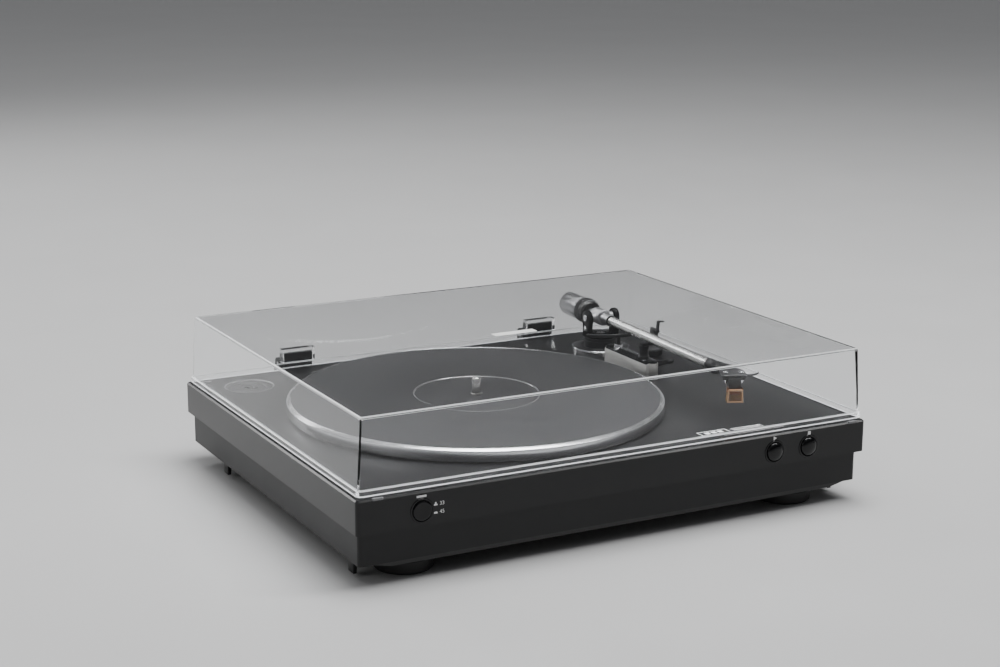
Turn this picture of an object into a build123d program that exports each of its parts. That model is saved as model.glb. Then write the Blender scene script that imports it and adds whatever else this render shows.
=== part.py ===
from build123d import *

import os
from math import cos, radians, sin

os.makedirs("parts", exist_ok=True)

# Belt-driven automatic record player. Millimetres, +Z up, the front faces -Y.
# The origin is on the table, under the middle of the whole player.

# ---- Case ----
deck_width = 440.0
deck_depth = 355.0
deck_y = -5.0
deck_height = 25.6
deck_plate = 3.5
deck_wall_side = 6.0
deck_wall_front = 7.0
deck_corner = 3.0
deck_chamfer = 1.2
tray_height = 24.8
tray_inset_side = 3.6
tray_inset_front = 5.7
tray_wall = 3.0
panel_thickness = 3.0
panel_bevel = 14.0
foot_height = 13.1
foot_radius = 22.0
foot_x = 168.0
foot_y = 142.0

panel_top = foot_height + panel_thickness
tray_floor = panel_top + tray_wall
deck_bottom = panel_top + tray_height
deck_top = deck_bottom + deck_height
deck_under = deck_top - deck_plate
front_y = deck_y - deck_depth / 2
back_y = deck_y + deck_depth / 2
tray_width = deck_width - 2 * tray_inset_side
tray_depth = deck_depth - 2 * tray_inset_front
tray_back = back_y - tray_inset_front

# ---- Screws: one case size and one chassis size ----
case_screw_radius = 1.7
case_screw_length = 16.0
case_head_radius = 3.5
case_head_height = 2.2
case_screw_x = 184.0
case_screw_y = 100.0
foot_screw_seat = 8.0
small_screw_radius = 1.45
small_screw_length = 6.0
small_head_radius = 2.8
small_head_height = 1.8
thread_gap = 0.05

# ---- Platter and its drive ----
platter_x = -37.0
platter_y = deck_y - 3.2
platter_radius = 151.5
platter_top_radius = 148.4
platter_gap = 1.0
bevel_height = 1.85
bevel_z = deck_top + 9.0
mat_top = bevel_z + bevel_height
mat_thickness = 2.5
mat_radius = 147.9
label_radius = 50.0
web_thickness = 3.0
rim_thickness = 10.0
drive_ring_radius = 72.0
drive_ring_wall = 4.0
hub_radius = 14.0
spindle_radius = 3.57
spindle_height = 12.9
shaft_radius = 4.0
running_gap = 0.05
pulley_radius = 6.0
pulley_x = -99.0
pulley_y = 57.8
belt_thickness = 0.8
belt_gap = 0.3
belt_height = 2.5
pinion_teeth = 15
gear_module = 1.0
cam_gear_teeth = 100
cam_gear_x = -1.0
cam_gear_y = 39.8

web_top = mat_top - mat_thickness
web_under = web_top - web_thickness
spindle_top = mat_top + spindle_height

# ---- Tonearm ----
arm_x = 143.7
arm_y = deck_y + 102.6
arm_z = deck_top + 32.0
arm_yaw = 2.48
offset_angle = 22.5
tube_radius = 4.25
tube_bore = 3.6
tube_start = 20.0
tube_end = 183.0
collar_end = 192.6
head_distance = 219.3
head_top = deck_top + 34.5
head_thickness = 2.5
base_radius = 26.0
base_height = 6.0
turret_radius = 15.0
turret_top = deck_top + 14.0
yoke_inner = 11.4
yoke_outer = 15.4
stub_radius = 4.0
weight_radius = 10.5
weight_front = -31.5
weight_back = -61.5
dial_front = -18.0
dial_radius = 11.5

# ---- Bar beside the arm, arm rest and cueing lift ----
bar_left = 127.3
bar_right = 142.0
bar_front = deck_y + 1.0
bar_back = deck_y + 76.0
bar_height = 12.5
bar_cover = 1.5
bar_top = deck_top + bar_height + bar_cover
rest_distance = 82.7
rest_post_radius = 4.8
rest_gap = 0.45
clip_side = 6.5
clip_z = arm_z + tube_radius + 1.5
clip_length = 7.8
clip_open_angle = 84.0
lift_x = 133.0
lift_y = 50.0
lift_arc_radius = 48.8
lift_bar_width = 4.0
lift_bar_height = 2.5
lift_stem_radius = 2.0
lift_travel = 5.0
cue_pivot_y = 12.0
cue_pivot_z = deck_top + 8.0

# ---- Dust cover and hinges ----
cover_gap = 1.6
cover_height = 56.3
cover_wall = 2.0
cover_draft = 3.3
cover_width = 434.2
cover_depth = 346.1
cover_y = deck_y - 1.45
lip_height = 4.3
lip_proud = 1.0
cover_z = deck_top + cover_gap
cover_top = cover_z + cover_height
label_x = -2.4
label_y = deck_y - 3.1
hinge_x = 120.0
hinge_y = back_y + 6.5
hinge_z = deck_top + 3.0
knuckle_radius = 5.5
knuckle_length = 17.0
hinge_pin_radius = 2.0
leaf_width = 26.0
leaf_thickness = 2.0
leaf_height = 12.0
pocket_wall = 2.0

# ---- Controls and connections ----
button_z = deck_top - 14.0
button_radius = 7.35
bezel_bore = 7.65
bezel_body = 8.6
bezel_flange = 9.2
speed_x = -170.0
start_x = 132.5
stop_x = 164.7
adapter_x = -176.0
adapter_y = deck_y + 140.0
adapter_radius = 19.0
recess_radius = 20.0
recess_depth = 4.4
recess_wall = 1.8
jack_x = 90.0
jack_z = (panel_top + deck_bottom) / 2
knob_x = 178.0
knob_y = deck_y + 70.0


def finish(part, name):
    """Label a finished piece and write its STEP file."""
    part.part.label = name
    export_step(part.part, f"parts/{name}.step")


def turned(yaw):
    """Unit vectors forward and to the right for a heading yaw degrees inward from the front."""
    forward = Vector(-sin(radians(yaw)), -cos(radians(yaw)), 0)
    right = Vector(cos(radians(yaw)), -sin(radians(yaw)), 0)
    return forward, right


arm_forward, arm_right = turned(arm_yaw)
head_forward, head_right = turned(arm_yaw + offset_angle)
arm_pivot = Vector(arm_x, arm_y, arm_z)
head_centre = arm_pivot + arm_forward * head_distance


def across(distance, up=0.0):
    """The plane square to the arm, distance ahead of its pivot."""
    origin = arm_pivot + arm_forward * distance + Vector(0, 0, up)
    return Plane(origin=origin, x_dir=arm_right, z_dir=arm_forward)


def sideways(distance, side):
    """The plane along the arm that faces right, side from the arm's centre line."""
    origin = arm_pivot + arm_forward * distance + arm_right * side
    return Plane(origin=origin, x_dir=-arm_forward, z_dir=arm_right)


def head_level(z):
    """A level plane with its origin at the cartridge screws' middle, +Y backwards."""
    return Plane(origin=(head_centre.X, head_centre.Y, z), x_dir=head_right, z_dir=(0, 0, 1))


def head_upright(distance):
    """The plane square to the headshell, distance ahead of the cartridge screws."""
    origin = head_centre + head_forward * distance
    return Plane(origin=origin, x_dir=head_right, z_dir=head_forward)


def head_side(distance, side):
    """The plane along the headshell that faces right, side from its middle."""
    origin = head_centre + head_forward * distance + head_right * side
    return Plane(origin=origin, x_dir=-head_forward, z_dir=head_right)


def level(z, x=0.0, y=0.0):
    """A level plane at height z with its origin at x, y."""
    return Plane(origin=(x, y, z))


def facing_front(y, x=0.0, z=0.0):
    """An upright plane that faces the front, with its origin at x, y, z."""
    return Plane(origin=(x, y, z), x_dir=(1, 0, 0), z_dir=(0, -1, 0))


def facing_right(x, y=0.0, z=0.0):
    """An upright plane that faces +X, with its origin at x, y, z."""
    return Plane(origin=(x, y, z), x_dir=(0, 1, 0), z_dir=(1, 0, 0))


corner_places = [(x, y) for x in (-foot_x, foot_x) for y in (deck_y - foot_y, deck_y + foot_y)]
case_places = [
    (x, deck_y + y) for x in (-case_screw_x, case_screw_x) for y in (-case_screw_y, 0, case_screw_y)
]

# ---- Mechanism plate, gear and main bearing places ----
mechanism_z = 52.0
mechanism_thickness = 1.5
mechanism_top = mechanism_z + mechanism_thickness
mechanism_centre = (0.0, 30.0)
mechanism_size = (124.0, 150.0)
mechanism_screws = [(x, y) for x in (-52.0, 52.0) for y in (-36.0, 96.0)]
bearing_screws = [(platter_x - 12.0, platter_y), (platter_x + 12.0, platter_y)]
motor_screws = [(pulley_x - 22.0, pulley_y), (pulley_x + 22.0, pulley_y)]
motor_flange_top = 59.5
motor_flange = 1.5
motor_radius = 17.0
motor_length = 22.0
board_x = 105.0
board_y = -110.0
board_size = (110.0, 56.0)
board_z = 30.0
board_thickness = 1.6
board_screws = [(board_x + x, board_y + y) for x in (-50.0, 50.0) for y in (-23.0, 23.0)]
gear_z = 56.5
gear_thickness = 4.0

# ======== Case ========
with BuildPart() as top_deck:
    with BuildSketch(level(deck_bottom, 0, deck_y)):
        RectangleRounded(deck_width, deck_depth, deck_corner)
    extrude(amount=deck_height)
    chamfer(top_deck.faces().sort_by(Axis.Z)[-1].edges(), deck_chamfer)
    with BuildSketch(level(deck_bottom, 0, deck_y)):
        Rectangle(deck_width - 2 * deck_wall_side, deck_depth - 2 * deck_wall_front)
    extrude(amount=deck_height - deck_plate, mode=Mode.SUBTRACT)
    with BuildSketch(level(deck_under)):
        with Locations(*case_places):
            Circle(5.0)
    extrude(amount=tray_floor - deck_under)
    with BuildSketch(level(deck_under)):
        with Locations(*mechanism_screws):
            Circle(4.0)
    extrude(amount=mechanism_top - deck_under)
    with BuildSketch(level(deck_under)):
        with Locations(*motor_screws):
            Circle(3.5)
    extrude(amount=motor_flange_top - deck_under)
    with BuildSketch(level(tray_floor)):
        with Locations(*case_places):
            Circle(case_screw_radius + thread_gap)
    extrude(amount=case_screw_length, mode=Mode.SUBTRACT)
    with BuildSketch(level(mechanism_top)):
        with Locations(*mechanism_screws):
            Circle(small_screw_radius + thread_gap)
    extrude(amount=small_screw_length, mode=Mode.SUBTRACT)
    with BuildSketch(level(motor_flange_top)):
        with Locations(*motor_screws):
            Circle(small_screw_radius + thread_gap)
    extrude(amount=small_screw_length - motor_flange, mode=Mode.SUBTRACT)
    with BuildSketch(level(deck_top)):
        with Locations((platter_x, platter_y)):
            Circle(11.0)
        with Locations((pulley_x, pulley_y)):
            Circle(pulley_radius + 2.5)
        with Locations((arm_x, arm_y)):
            Circle(10.0)
        with Locations((knob_x, knob_y)):
            Circle(3.0 + running_gap)
    extrude(amount=-deck_plate, mode=Mode.SUBTRACT)
    with BuildSketch(level(deck_under)):
        with Locations((adapter_x, adapter_y)):
            Circle(recess_radius + recess_wall)
    extrude(amount=deck_plate - recess_depth - recess_wall)
    with BuildSketch(level(deck_top)):
        with Locations((adapter_x, adapter_y)):
            Circle(recess_radius)
    extrude(amount=-recess_depth, mode=Mode.SUBTRACT)
    with BuildSketch(facing_front(front_y)):
        with Locations((speed_x, button_z), (start_x, button_z), (stop_x, button_z)):
            Circle(bezel_body + thread_gap)
    extrude(amount=-deck_wall_front, mode=Mode.SUBTRACT)
    with BuildSketch(facing_front(back_y)):
        with Locations(*[(s * hinge_x + d, deck_top - 13) for s in (-1, 1) for d in (-10, 10)]):
            Circle(small_screw_radius + thread_gap)
    extrude(amount=deck_wall_front, mode=Mode.SUBTRACT)
finish(top_deck, "top_deck")

with BuildPart() as base_tray:
    with BuildSketch(level(panel_top, 0, deck_y)):
        RectangleRounded(tray_width, tray_depth, deck_corner)
    extrude(amount=tray_height)
    with BuildSketch(level(tray_floor, 0, deck_y)):
        Rectangle(tray_width - 2 * tray_wall, tray_depth - 2 * tray_wall)
    extrude(amount=tray_height, mode=Mode.SUBTRACT)
    with BuildSketch(level(tray_floor)):
        with Locations(*corner_places):
            Circle(6.0)
    extrude(amount=6.0)
    with BuildSketch(level(tray_floor)):
        with Locations(*board_screws):
            Circle(3.5)
    extrude(amount=board_z - tray_floor)
    with BuildSketch(level(panel_top)):
        with Locations(*corner_places, *case_places):
            Circle(case_screw_radius + thread_gap)
    extrude(amount=10.0, mode=Mode.SUBTRACT)
    with BuildSketch(level(board_z)):
        with Locations(*board_screws):
            Circle(small_screw_radius + thread_gap)
    extrude(amount=-small_screw_length, mode=Mode.SUBTRACT)
    with BuildSketch(facing_front(tray_back, jack_x, jack_z)):
        Rectangle(104.0, 15.0)
    extrude(amount=tray_wall, mode=Mode.SUBTRACT)
finish(base_tray, "base_tray")

with BuildPart() as bottom_panel:
    with BuildSketch(facing_front(front_y + tray_inset_front, 0, foot_height)):
        Polygon(
            (-191.0, 0),
            (191.0, 0),
            (191.0 + panel_bevel, panel_thickness),
            (-191.0 - panel_bevel, panel_thickness),
            align=None,
        )
    extrude(amount=-tray_depth)
    with BuildSketch(level(foot_height)):
        with Locations(*corner_places, *case_places):
            Circle(case_screw_radius + thread_gap)
    extrude(amount=panel_thickness, mode=Mode.SUBTRACT)
finish(bottom_panel, "bottom_panel")

with BuildPart() as feet:
    with BuildSketch(level(0)):
        with Locations(*corner_places):
            Circle(foot_radius)
    extrude(amount=foot_height)
    chamfer(feet.faces().group_by(Axis.Z)[0].edges(), 1.5)
    with BuildSketch(level(0)):
        with Locations(*corner_places):
            Circle(case_head_radius + 1.0)
    extrude(amount=foot_screw_seat, mode=Mode.SUBTRACT)
    with BuildSketch(level(foot_screw_seat)):
        with Locations(*corner_places):
            Circle(case_screw_radius + thread_gap)
    extrude(amount=foot_height - foot_screw_seat, mode=Mode.SUBTRACT)
finish(feet, "feet")

with BuildPart() as case_screws:
    for places, seat in ((corner_places, foot_screw_seat), (case_places, foot_height)):
        with BuildSketch(level(seat)):
            with Locations(*places):
                Circle(case_head_radius)
        extrude(amount=-case_head_height)
        with BuildSketch(level(seat)):
            with Locations(*places):
                Circle(case_screw_radius)
        extrude(amount=case_screw_length)
finish(case_screws, "case_screws")

# ======== Platter and drive ========
with BuildPart() as platter:
    with BuildSketch(facing_front(platter_y, platter_x)):
        Polygon(
            (shaft_radius, web_top),
            (platter_top_radius - 0.2, web_top),
            (platter_top_radius - 0.2, mat_top),
            (platter_top_radius, mat_top),
            (platter_radius, bevel_z),
            (platter_radius, deck_top + platter_gap),
            (platter_radius - rim_thickness, deck_top + platter_gap),
            (platter_radius - rim_thickness, web_under),
            (drive_ring_radius, web_under),
            (drive_ring_radius, web_under - 3.7),
            (drive_ring_radius - drive_ring_wall, web_under - 3.7),
            (drive_ring_radius - drive_ring_wall, web_under),
            (hub_radius, web_under),
            (hub_radius, web_under - 4.0),
            (shaft_radius, web_under - 4.0),
            align=None,
        )
    revolve(axis=Axis((platter_x, platter_y, 0), (0, 0, 1)))
finish(platter, "platter")

with BuildPart() as platter_mat:
    with BuildSketch(level(web_top, platter_x, platter_y)):
        Circle(mat_radius)
        Circle(5.05, mode=Mode.SUBTRACT)
    extrude(amount=mat_thickness)
    with BuildSketch(level(mat_top, platter_x, platter_y)):
        Circle(label_radius)
    extrude(amount=-0.5, mode=Mode.SUBTRACT)
finish(platter_mat, "platter_mat")

with BuildPart() as spindle:
    with BuildSketch(level(31.1, platter_x, platter_y)):
        Circle(shaft_radius)
    extrude(amount=web_top - 31.1)
    with BuildSketch(level(web_top, platter_x, platter_y)):
        Circle(5.0)
    extrude(amount=mat_thickness - 0.4)
    with BuildSketch(level(mat_top - 0.4, platter_x, platter_y)):
        Circle(spindle_radius)
    extrude(amount=spindle_height + 0.4)
    fillet(spindle.faces().sort_by(Axis.Z)[-1].edges(), 2.4)
finish(spindle, "spindle")

with BuildPart() as drive_pinion:
    with BuildSketch(level(56.0, platter_x, platter_y)):
        Circle(gear_module * (pinion_teeth / 2 - 1.2))
        with PolarLocations(gear_module * (pinion_teeth / 2 - 0.15), pinion_teeth):
            Trapezoid(2.2 * gear_module, 2.3 * gear_module, 70, rotation=-90)
        Circle(shaft_radius, mode=Mode.SUBTRACT)
    extrude(amount=5.0)
finish(drive_pinion, "drive_pinion")

with BuildPart() as bearing_housing:
    with BuildSketch(level(28.0, platter_x, platter_y)):
        Circle(8.0)
    extrude(amount=54.5 - 28.0)
    with BuildSketch(level(mechanism_z, platter_x, platter_y)):
        Circle(16.0)
    extrude(amount=-3.0)
    with BuildSketch(level(31.0, platter_x, platter_y)):
        Circle(shaft_radius + running_gap)
    extrude(amount=30.0, mode=Mode.SUBTRACT)
    with BuildSketch(level(mechanism_z)):
        with Locations(*bearing_screws):
            Circle(small_screw_radius + thread_gap)
    extrude(amount=-3.0, mode=Mode.SUBTRACT)
finish(bearing_housing, "bearing_housing")

with BuildPart() as mechanism_plate:
    with BuildSketch(level(mechanism_z, *mechanism_centre)):
        RectangleRounded(*mechanism_size, 8.0)
    extrude(amount=mechanism_thickness)
    with BuildSketch(level(mechanism_top, cam_gear_x, cam_gear_y)):
        Circle(6.0)
    extrude(amount=gear_z - mechanism_top)
    with BuildSketch(level(gear_z, cam_gear_x, cam_gear_y)):
        Circle(3.0)
    extrude(amount=5.5)
    with BuildSketch(level(mechanism_z, platter_x, platter_y)):
        Circle(8.0 + thread_gap)
    extrude(amount=mechanism_thickness, mode=Mode.SUBTRACT)
    with BuildSketch(level(mechanism_z)):
        with Locations(*bearing_screws, *mechanism_screws):
            Circle(small_screw_radius + thread_gap)
    extrude(amount=mechanism_thickness, mode=Mode.SUBTRACT)
finish(mechanism_plate, "mechanism_plate")

with BuildPart() as cam_gear:
    with BuildSketch(level(gear_z, cam_gear_x, cam_gear_y)):
        Circle(gear_module * (cam_gear_teeth / 2 - 1.2))
        with PolarLocations(gear_module * (cam_gear_teeth / 2 - 0.15), cam_gear_teeth):
            Trapezoid(2.2 * gear_module, 2.3 * gear_module, 72, rotation=-90)
        Circle(3.0 + running_gap, mode=Mode.SUBTRACT)
    extrude(amount=gear_thickness)
    with BuildSketch(level(gear_z + gear_thickness, cam_gear_x, cam_gear_y)):
        with Locations((4.0, 2.0)):
            Circle(34.0)
        with Locations((2.0, 1.0)):
            Circle(29.0, mode=Mode.SUBTRACT)
    extrude(amount=-1.8, mode=Mode.SUBTRACT)
finish(cam_gear, "cam_gear")

with BuildPart() as motor:
    with BuildSketch(level(motor_flange_top, pulley_x, pulley_y)):
        SlotOverall(56.0, 16.0)
        Circle(motor_radius)
    extrude(amount=-motor_flange)
    with BuildSketch(level(motor_flange_top - motor_flange, pulley_x, pulley_y)):
        Circle(motor_radius)
    extrude(amount=-motor_length)
    fillet(motor.faces().sort_by(Axis.Z)[0].edges(), 1.5)
    with BuildSketch(level(motor_flange_top, pulley_x, pulley_y)):
        Circle(1.2 + running_gap)
    extrude(amount=-8.0, mode=Mode.SUBTRACT)
    with BuildSketch(level(motor_flange_top)):
        with Locations(*motor_screws):
            Circle(small_screw_radius + thread_gap)
    extrude(amount=-motor_flange, mode=Mode.SUBTRACT)
finish(motor, "motor")

belt_z = web_under - 3.2
with BuildPart() as motor_pulley:
    with BuildSketch(level(motor_flange_top - 7.5, pulley_x, pulley_y)):
        Circle(1.2)
    extrude(amount=18.0)
    with BuildSketch(level(deck_top + 0.6, pulley_x, pulley_y)):
        Circle(pulley_radius)
    extrude(amount=web_under - 0.6 - deck_top - 0.6)
finish(motor_pulley, "motor_pulley")

with BuildPart() as drive_belt:
    with BuildSketch(level(belt_z)):
        with Locations((platter_x, platter_y)):
            Circle(drive_ring_radius + belt_gap + belt_thickness)
        with Locations((pulley_x, pulley_y)):
            Circle(pulley_radius + belt_gap + belt_thickness)
        make_hull()
    extrude(amount=belt_height)
    with BuildSketch(level(belt_z)):
        with Locations((platter_x, platter_y)):
            Circle(drive_ring_radius + belt_gap)
        with Locations((pulley_x, pulley_y)):
            Circle(pulley_radius + belt_gap)
        make_hull()
    extrude(amount=belt_height, mode=Mode.SUBTRACT)
finish(drive_belt, "drive_belt")

small_screw_sets = (
    (mechanism_screws, mechanism_z, 1),
    (bearing_screws, mechanism_z - 3.0, 1),
    (motor_screws, motor_flange_top - motor_flange, 1),
    (board_screws, board_z + board_thickness, -1),
)
with BuildPart() as chassis_screws:
    for places, seat, way in small_screw_sets:
        with BuildSketch(level(seat)):
            with Locations(*places):
                Circle(small_head_radius)
        extrude(amount=-way * small_head_height)
        with BuildSketch(level(seat)):
            with Locations(*places):
                Circle(small_screw_radius)
        extrude(amount=way * (small_screw_length - 1.6))
finish(chassis_screws, "chassis_screws")

with BuildPart() as adapter_45:
    with BuildSketch(level(deck_top - recess_depth, adapter_x, adapter_y)):
        Circle(adapter_radius)
    extrude(amount=3.4)
    chamfer(adapter_45.faces().sort_by(Axis.Z)[-1].edges(), 0.8)
    with BuildSketch(level(deck_top - recess_depth, adapter_x, adapter_y)):
        Circle(3.62)
    extrude(amount=3.4, mode=Mode.SUBTRACT)
finish(adapter_45, "adapter_45")

# ======== Electronics and connections ========
with BuildPart() as control_board:
    with BuildSketch(level(board_z, board_x, board_y)):
        Rectangle(*board_size)
    extrude(amount=board_thickness)
    with BuildSketch(level(board_z)):
        with Locations(*board_screws):
            Circle(small_screw_radius + thread_gap)
    extrude(amount=board_thickness, mode=Mode.SUBTRACT)
finish(control_board, "control_board")

component_z = board_z + board_thickness
with BuildPart() as board_components:
    with BuildSketch(level(component_z, board_x, board_y)):
        with Locations((-30, 10), (-14, 10)):
            Circle(5.0)
    extrude(amount=12.0)
    with BuildSketch(level(component_z, board_x, board_y)):
        with Locations((12, -6)):
            Rectangle(16.0, 8.0)
        with Locations((-30, -14), (0, -18)):
            Rectangle(12.0, 6.0)
        with Locations((38, 10)):
            Rectangle(10.0, 18.0)
    extrude(amount=5.0)
finish(board_components, "board_components")

with BuildPart() as jack_plate:
    with BuildSketch(facing_front(tray_back, jack_x, jack_z)):
        RectangleRounded(112.0, 21.0, 2.0)
    extrude(amount=-1.5)
    with BuildSketch(facing_front(tray_back, jack_x, jack_z)):
        with Locations((38, 0), (22, 0)):
            Circle(4.6)
        with Locations((4, 0)):
            Circle(2.5)
        with Locations((-16, 0)):
            Rectangle(10.0, 4.0)
        with Locations((-38, 0)):
            Circle(5.0)
    extrude(amount=-1.5, mode=Mode.SUBTRACT)
finish(jack_plate, "jack_plate")

with BuildPart() as audio_sockets:
    with BuildSketch(facing_front(tray_back + 9.5, jack_x, jack_z)):
        with Locations((38, 0), (22, 0)):
            Circle(4.15)
    extrude(amount=9.5)
    with BuildSketch(facing_front(tray_back, jack_x, jack_z)):
        with Locations((38, 0), (22, 0)):
            Circle(5.5)
    extrude(amount=6.0)
    with BuildSketch(facing_front(tray_back, jack_x, jack_z)):
        with Locations((38, 0), (22, 0)):
            Circle(4.6)
    extrude(amount=-2.0)
    with BuildSketch(facing_front(tray_back + 9.5, jack_x, jack_z)):
        with Locations((38, 0), (22, 0)):
            Circle(1.65)
    extrude(amount=8.0, mode=Mode.SUBTRACT)
finish(audio_sockets, "audio_sockets")

with BuildPart() as ground_post:
    with BuildSketch(facing_front(tray_back + 9.0, jack_x + 4, jack_z)):
        Circle(2.0)
    extrude(amount=15.0)
    with BuildSketch(facing_front(tray_back + 8.0, jack_x + 4, jack_z)):
        Circle(4.5)
    extrude(amount=5.0)
finish(ground_post, "ground_post")

with BuildPart() as power_inlet:
    with BuildSketch(facing_front(tray_back + 1.5, jack_x - 38, jack_z)):
        Circle(5.0)
    extrude(amount=13.5)
    with BuildSketch(facing_front(tray_back + 1.5, jack_x - 38, jack_z)):
        Circle(2.75)
    extrude(amount=10.0, mode=Mode.SUBTRACT)
finish(power_inlet, "power_inlet")

with BuildPart() as preamp_switch:
    with BuildSketch(facing_front(tray_back + 3.5, jack_x - 18.4, jack_z)):
        Rectangle(4.0, 3.4)
    extrude(amount=6.0)
finish(preamp_switch, "preamp_switch")

# ======== Front controls ========
button_places = [(speed_x, button_z), (start_x, button_z), (stop_x, button_z)]
with BuildPart() as button_bezels:
    with BuildSketch(facing_front(front_y)):
        with Locations(*button_places):
            Circle(bezel_flange)
    extrude(amount=0.6)
    with BuildSketch(facing_front(front_y)):
        with Locations(*button_places):
            Circle(bezel_body)
    extrude(amount=-4.0)
    with BuildSketch(facing_front(front_y - 0.6)):
        with Locations(*button_places):
            Circle(bezel_bore)
    extrude(amount=-6.0, mode=Mode.SUBTRACT)
finish(button_bezels, "button_bezels")


def push_button(name, x, proud, edge):
    """A round push button: a cap with a rounded edge on a stem that reaches its switch."""
    with BuildPart() as button:
        with BuildSketch(facing_front(front_y - proud, x, button_z)):
            Circle(button_radius)
        extrude(amount=-(proud + 6.0))
        fillet(button.faces().sort_by(Axis.Y)[0].edges(), edge)
        with BuildSketch(facing_front(front_y + 6.0, x, button_z)):
            Circle(3.0)
        extrude(amount=-5.6)
    finish(button, name)


push_button("speed_button", speed_x, 1.4, 1.0)
push_button("start_button", start_x, 3.5, 3.2)
push_button("stop_button", stop_x, 3.5, 3.2)

with BuildPart() as button_switches:
    with BuildSketch(level(deck_under)):
        with Locations(*[(x, front_y + 17.5) for x, z in button_places]):
            Rectangle(12.0, 7.0)
    extrude(amount=button_z - 5.0 - deck_under)
finish(button_switches, "button_switches")

# ======== Dust cover and hinges ========
with BuildPart() as dust_cover:
    with BuildSketch(level(cover_z, 0, cover_y)):
        RectangleRounded(cover_width, cover_depth, 3.5)
    extrude(amount=cover_height, taper=cover_draft)
    fillet(dust_cover.faces().sort_by(Axis.Z)[-1].edges(), 1.2)
    with BuildSketch(level(cover_z, 0, cover_y)):
        RectangleRounded(cover_width + 2 * lip_proud, cover_depth + 2 * lip_proud, 4.5)
    extrude(amount=lip_height)
    with BuildSketch(level(cover_z + lip_height)):
        with Locations(*[(s * hinge_x, back_y + 0.35) for s in (-1, 1)]):
            Rectangle(leaf_width + 2 * pocket_wall, 12.0, align=(Align.CENTER, Align.MAX))
    extrude(amount=leaf_height)
    with BuildSketch(level(cover_z, 0, cover_y)):
        RectangleRounded(cover_width - 2 * cover_wall, cover_depth - 2 * cover_wall, 1.5)
    extrude(amount=cover_height - cover_wall, taper=cover_draft, mode=Mode.SUBTRACT)
    with BuildSketch(level(cover_z)):
        with Locations(*[(s * hinge_x, back_y - 3.05) for s in (-1, 1)]):
            Rectangle(leaf_width + 0.2, leaf_thickness + 0.1)
    extrude(amount=leaf_height + 1.0, mode=Mode.SUBTRACT)
finish(dust_cover, "dust_cover")

with BuildPart() as cover_label:
    with BuildSketch(level(cover_top, label_x, label_y)):
        RectangleRounded(38.0, 9.0, 0.6)
    extrude(amount=0.15)
finish(cover_label, "cover_label")

with BuildPart() as cover_bumpers:
    with BuildSketch(level(cover_z, 0, cover_y)):
        with Locations(*[(x, cover_y + y) for x in (-205.0, 205.0) for y in (-171.9, 171.9)]):
            RectangleRounded(8.0, 2.4, 1.0)
    extrude(amount=0.05 - cover_gap)
finish(cover_bumpers, "cover_bumpers")

with BuildPart() as hinge_leaves:
    for s in (-1, 1):
        with BuildSketch(level(cover_z + 0.5, s * hinge_x, back_y - 3.05)):
            Rectangle(leaf_width, leaf_thickness)
        extrude(amount=leaf_height)
        with BuildSketch(level(deck_top + 0.8, s * hinge_x, back_y - 4.05)):
            Rectangle(knuckle_length, hinge_y - back_y + 4.05, align=(Align.CENTER, Align.MIN))
        extrude(amount=cover_gap + 0.2)
        with BuildSketch(facing_right(s * hinge_x, hinge_y, hinge_z)):
            Circle(knuckle_radius)
        extrude(amount=knuckle_length / 2, both=True)
        with BuildSketch(facing_right(s * hinge_x, hinge_y, hinge_z)):
            Circle(hinge_pin_radius + running_gap)
        extrude(amount=knuckle_length / 2, both=True, mode=Mode.SUBTRACT)
finish(hinge_leaves, "hinge_leaves")

ear_gap = 0.4
ear_width = 6.0
bracket_low = deck_top - 22.0
with BuildPart() as hinge_brackets:
    for s in (-1, 1):
        bracket_width = knuckle_length + 2 * (ear_gap + ear_width)
        with BuildSketch(level(bracket_low, s * hinge_x, back_y)):
            Rectangle(bracket_width, 13.5, align=(Align.CENTER, Align.MIN))
        extrude(amount=hinge_z - knuckle_radius - 1.0 - bracket_low)
        for side in (-1, 1):
            ear_x = s * hinge_x + side * (knuckle_length / 2 + ear_gap)
            with BuildSketch(facing_right(ear_x, hinge_y, hinge_z)):
                Circle(knuckle_radius)
                Rectangle(2 * knuckle_radius, 9.0, align=(Align.CENTER, Align.MAX))
            extrude(amount=side * ear_width)
        with BuildSketch(facing_right(s * hinge_x, hinge_y, hinge_z)):
            Circle(hinge_pin_radius)
        extrude(amount=bracket_width / 2, both=True, mode=Mode.SUBTRACT)
        with BuildSketch(facing_front(back_y + 13.5)):
            with Locations((s * hinge_x - 10, deck_top - 13), (s * hinge_x + 10, deck_top - 13)):
                Circle(small_screw_radius + thread_gap)
        extrude(amount=13.5, mode=Mode.SUBTRACT)
        with BuildSketch(facing_front(back_y + 13.5)):
            with Locations((s * hinge_x - 10, deck_top - 13), (s * hinge_x + 10, deck_top - 13)):
                Circle(small_head_radius + 0.2)
        extrude(amount=10.0, mode=Mode.SUBTRACT)
finish(hinge_brackets, "hinge_brackets")

with BuildPart() as hinge_pins:
    for s in (-1, 1):
        with BuildSketch(facing_right(s * hinge_x, hinge_y, hinge_z)):
            Circle(hinge_pin_radius)
        extrude(amount=knuckle_length / 2 + ear_gap + ear_width, both=True)
finish(hinge_pins, "hinge_pins")

with BuildPart() as hinge_screws:
    for s in (-1, 1):
        with BuildSketch(facing_front(back_y + 3.5)):
            with Locations((s * hinge_x - 10, deck_top - 13), (s * hinge_x + 10, deck_top - 13)):
                Circle(small_head_radius)
        extrude(amount=-small_head_height)
        with BuildSketch(facing_front(back_y + 3.5)):
            with Locations((s * hinge_x - 10, deck_top - 13), (s * hinge_x + 10, deck_top - 13)):
                Circle(small_screw_radius)
        extrude(amount=8.0)
finish(hinge_screws, "hinge_screws")

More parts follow.
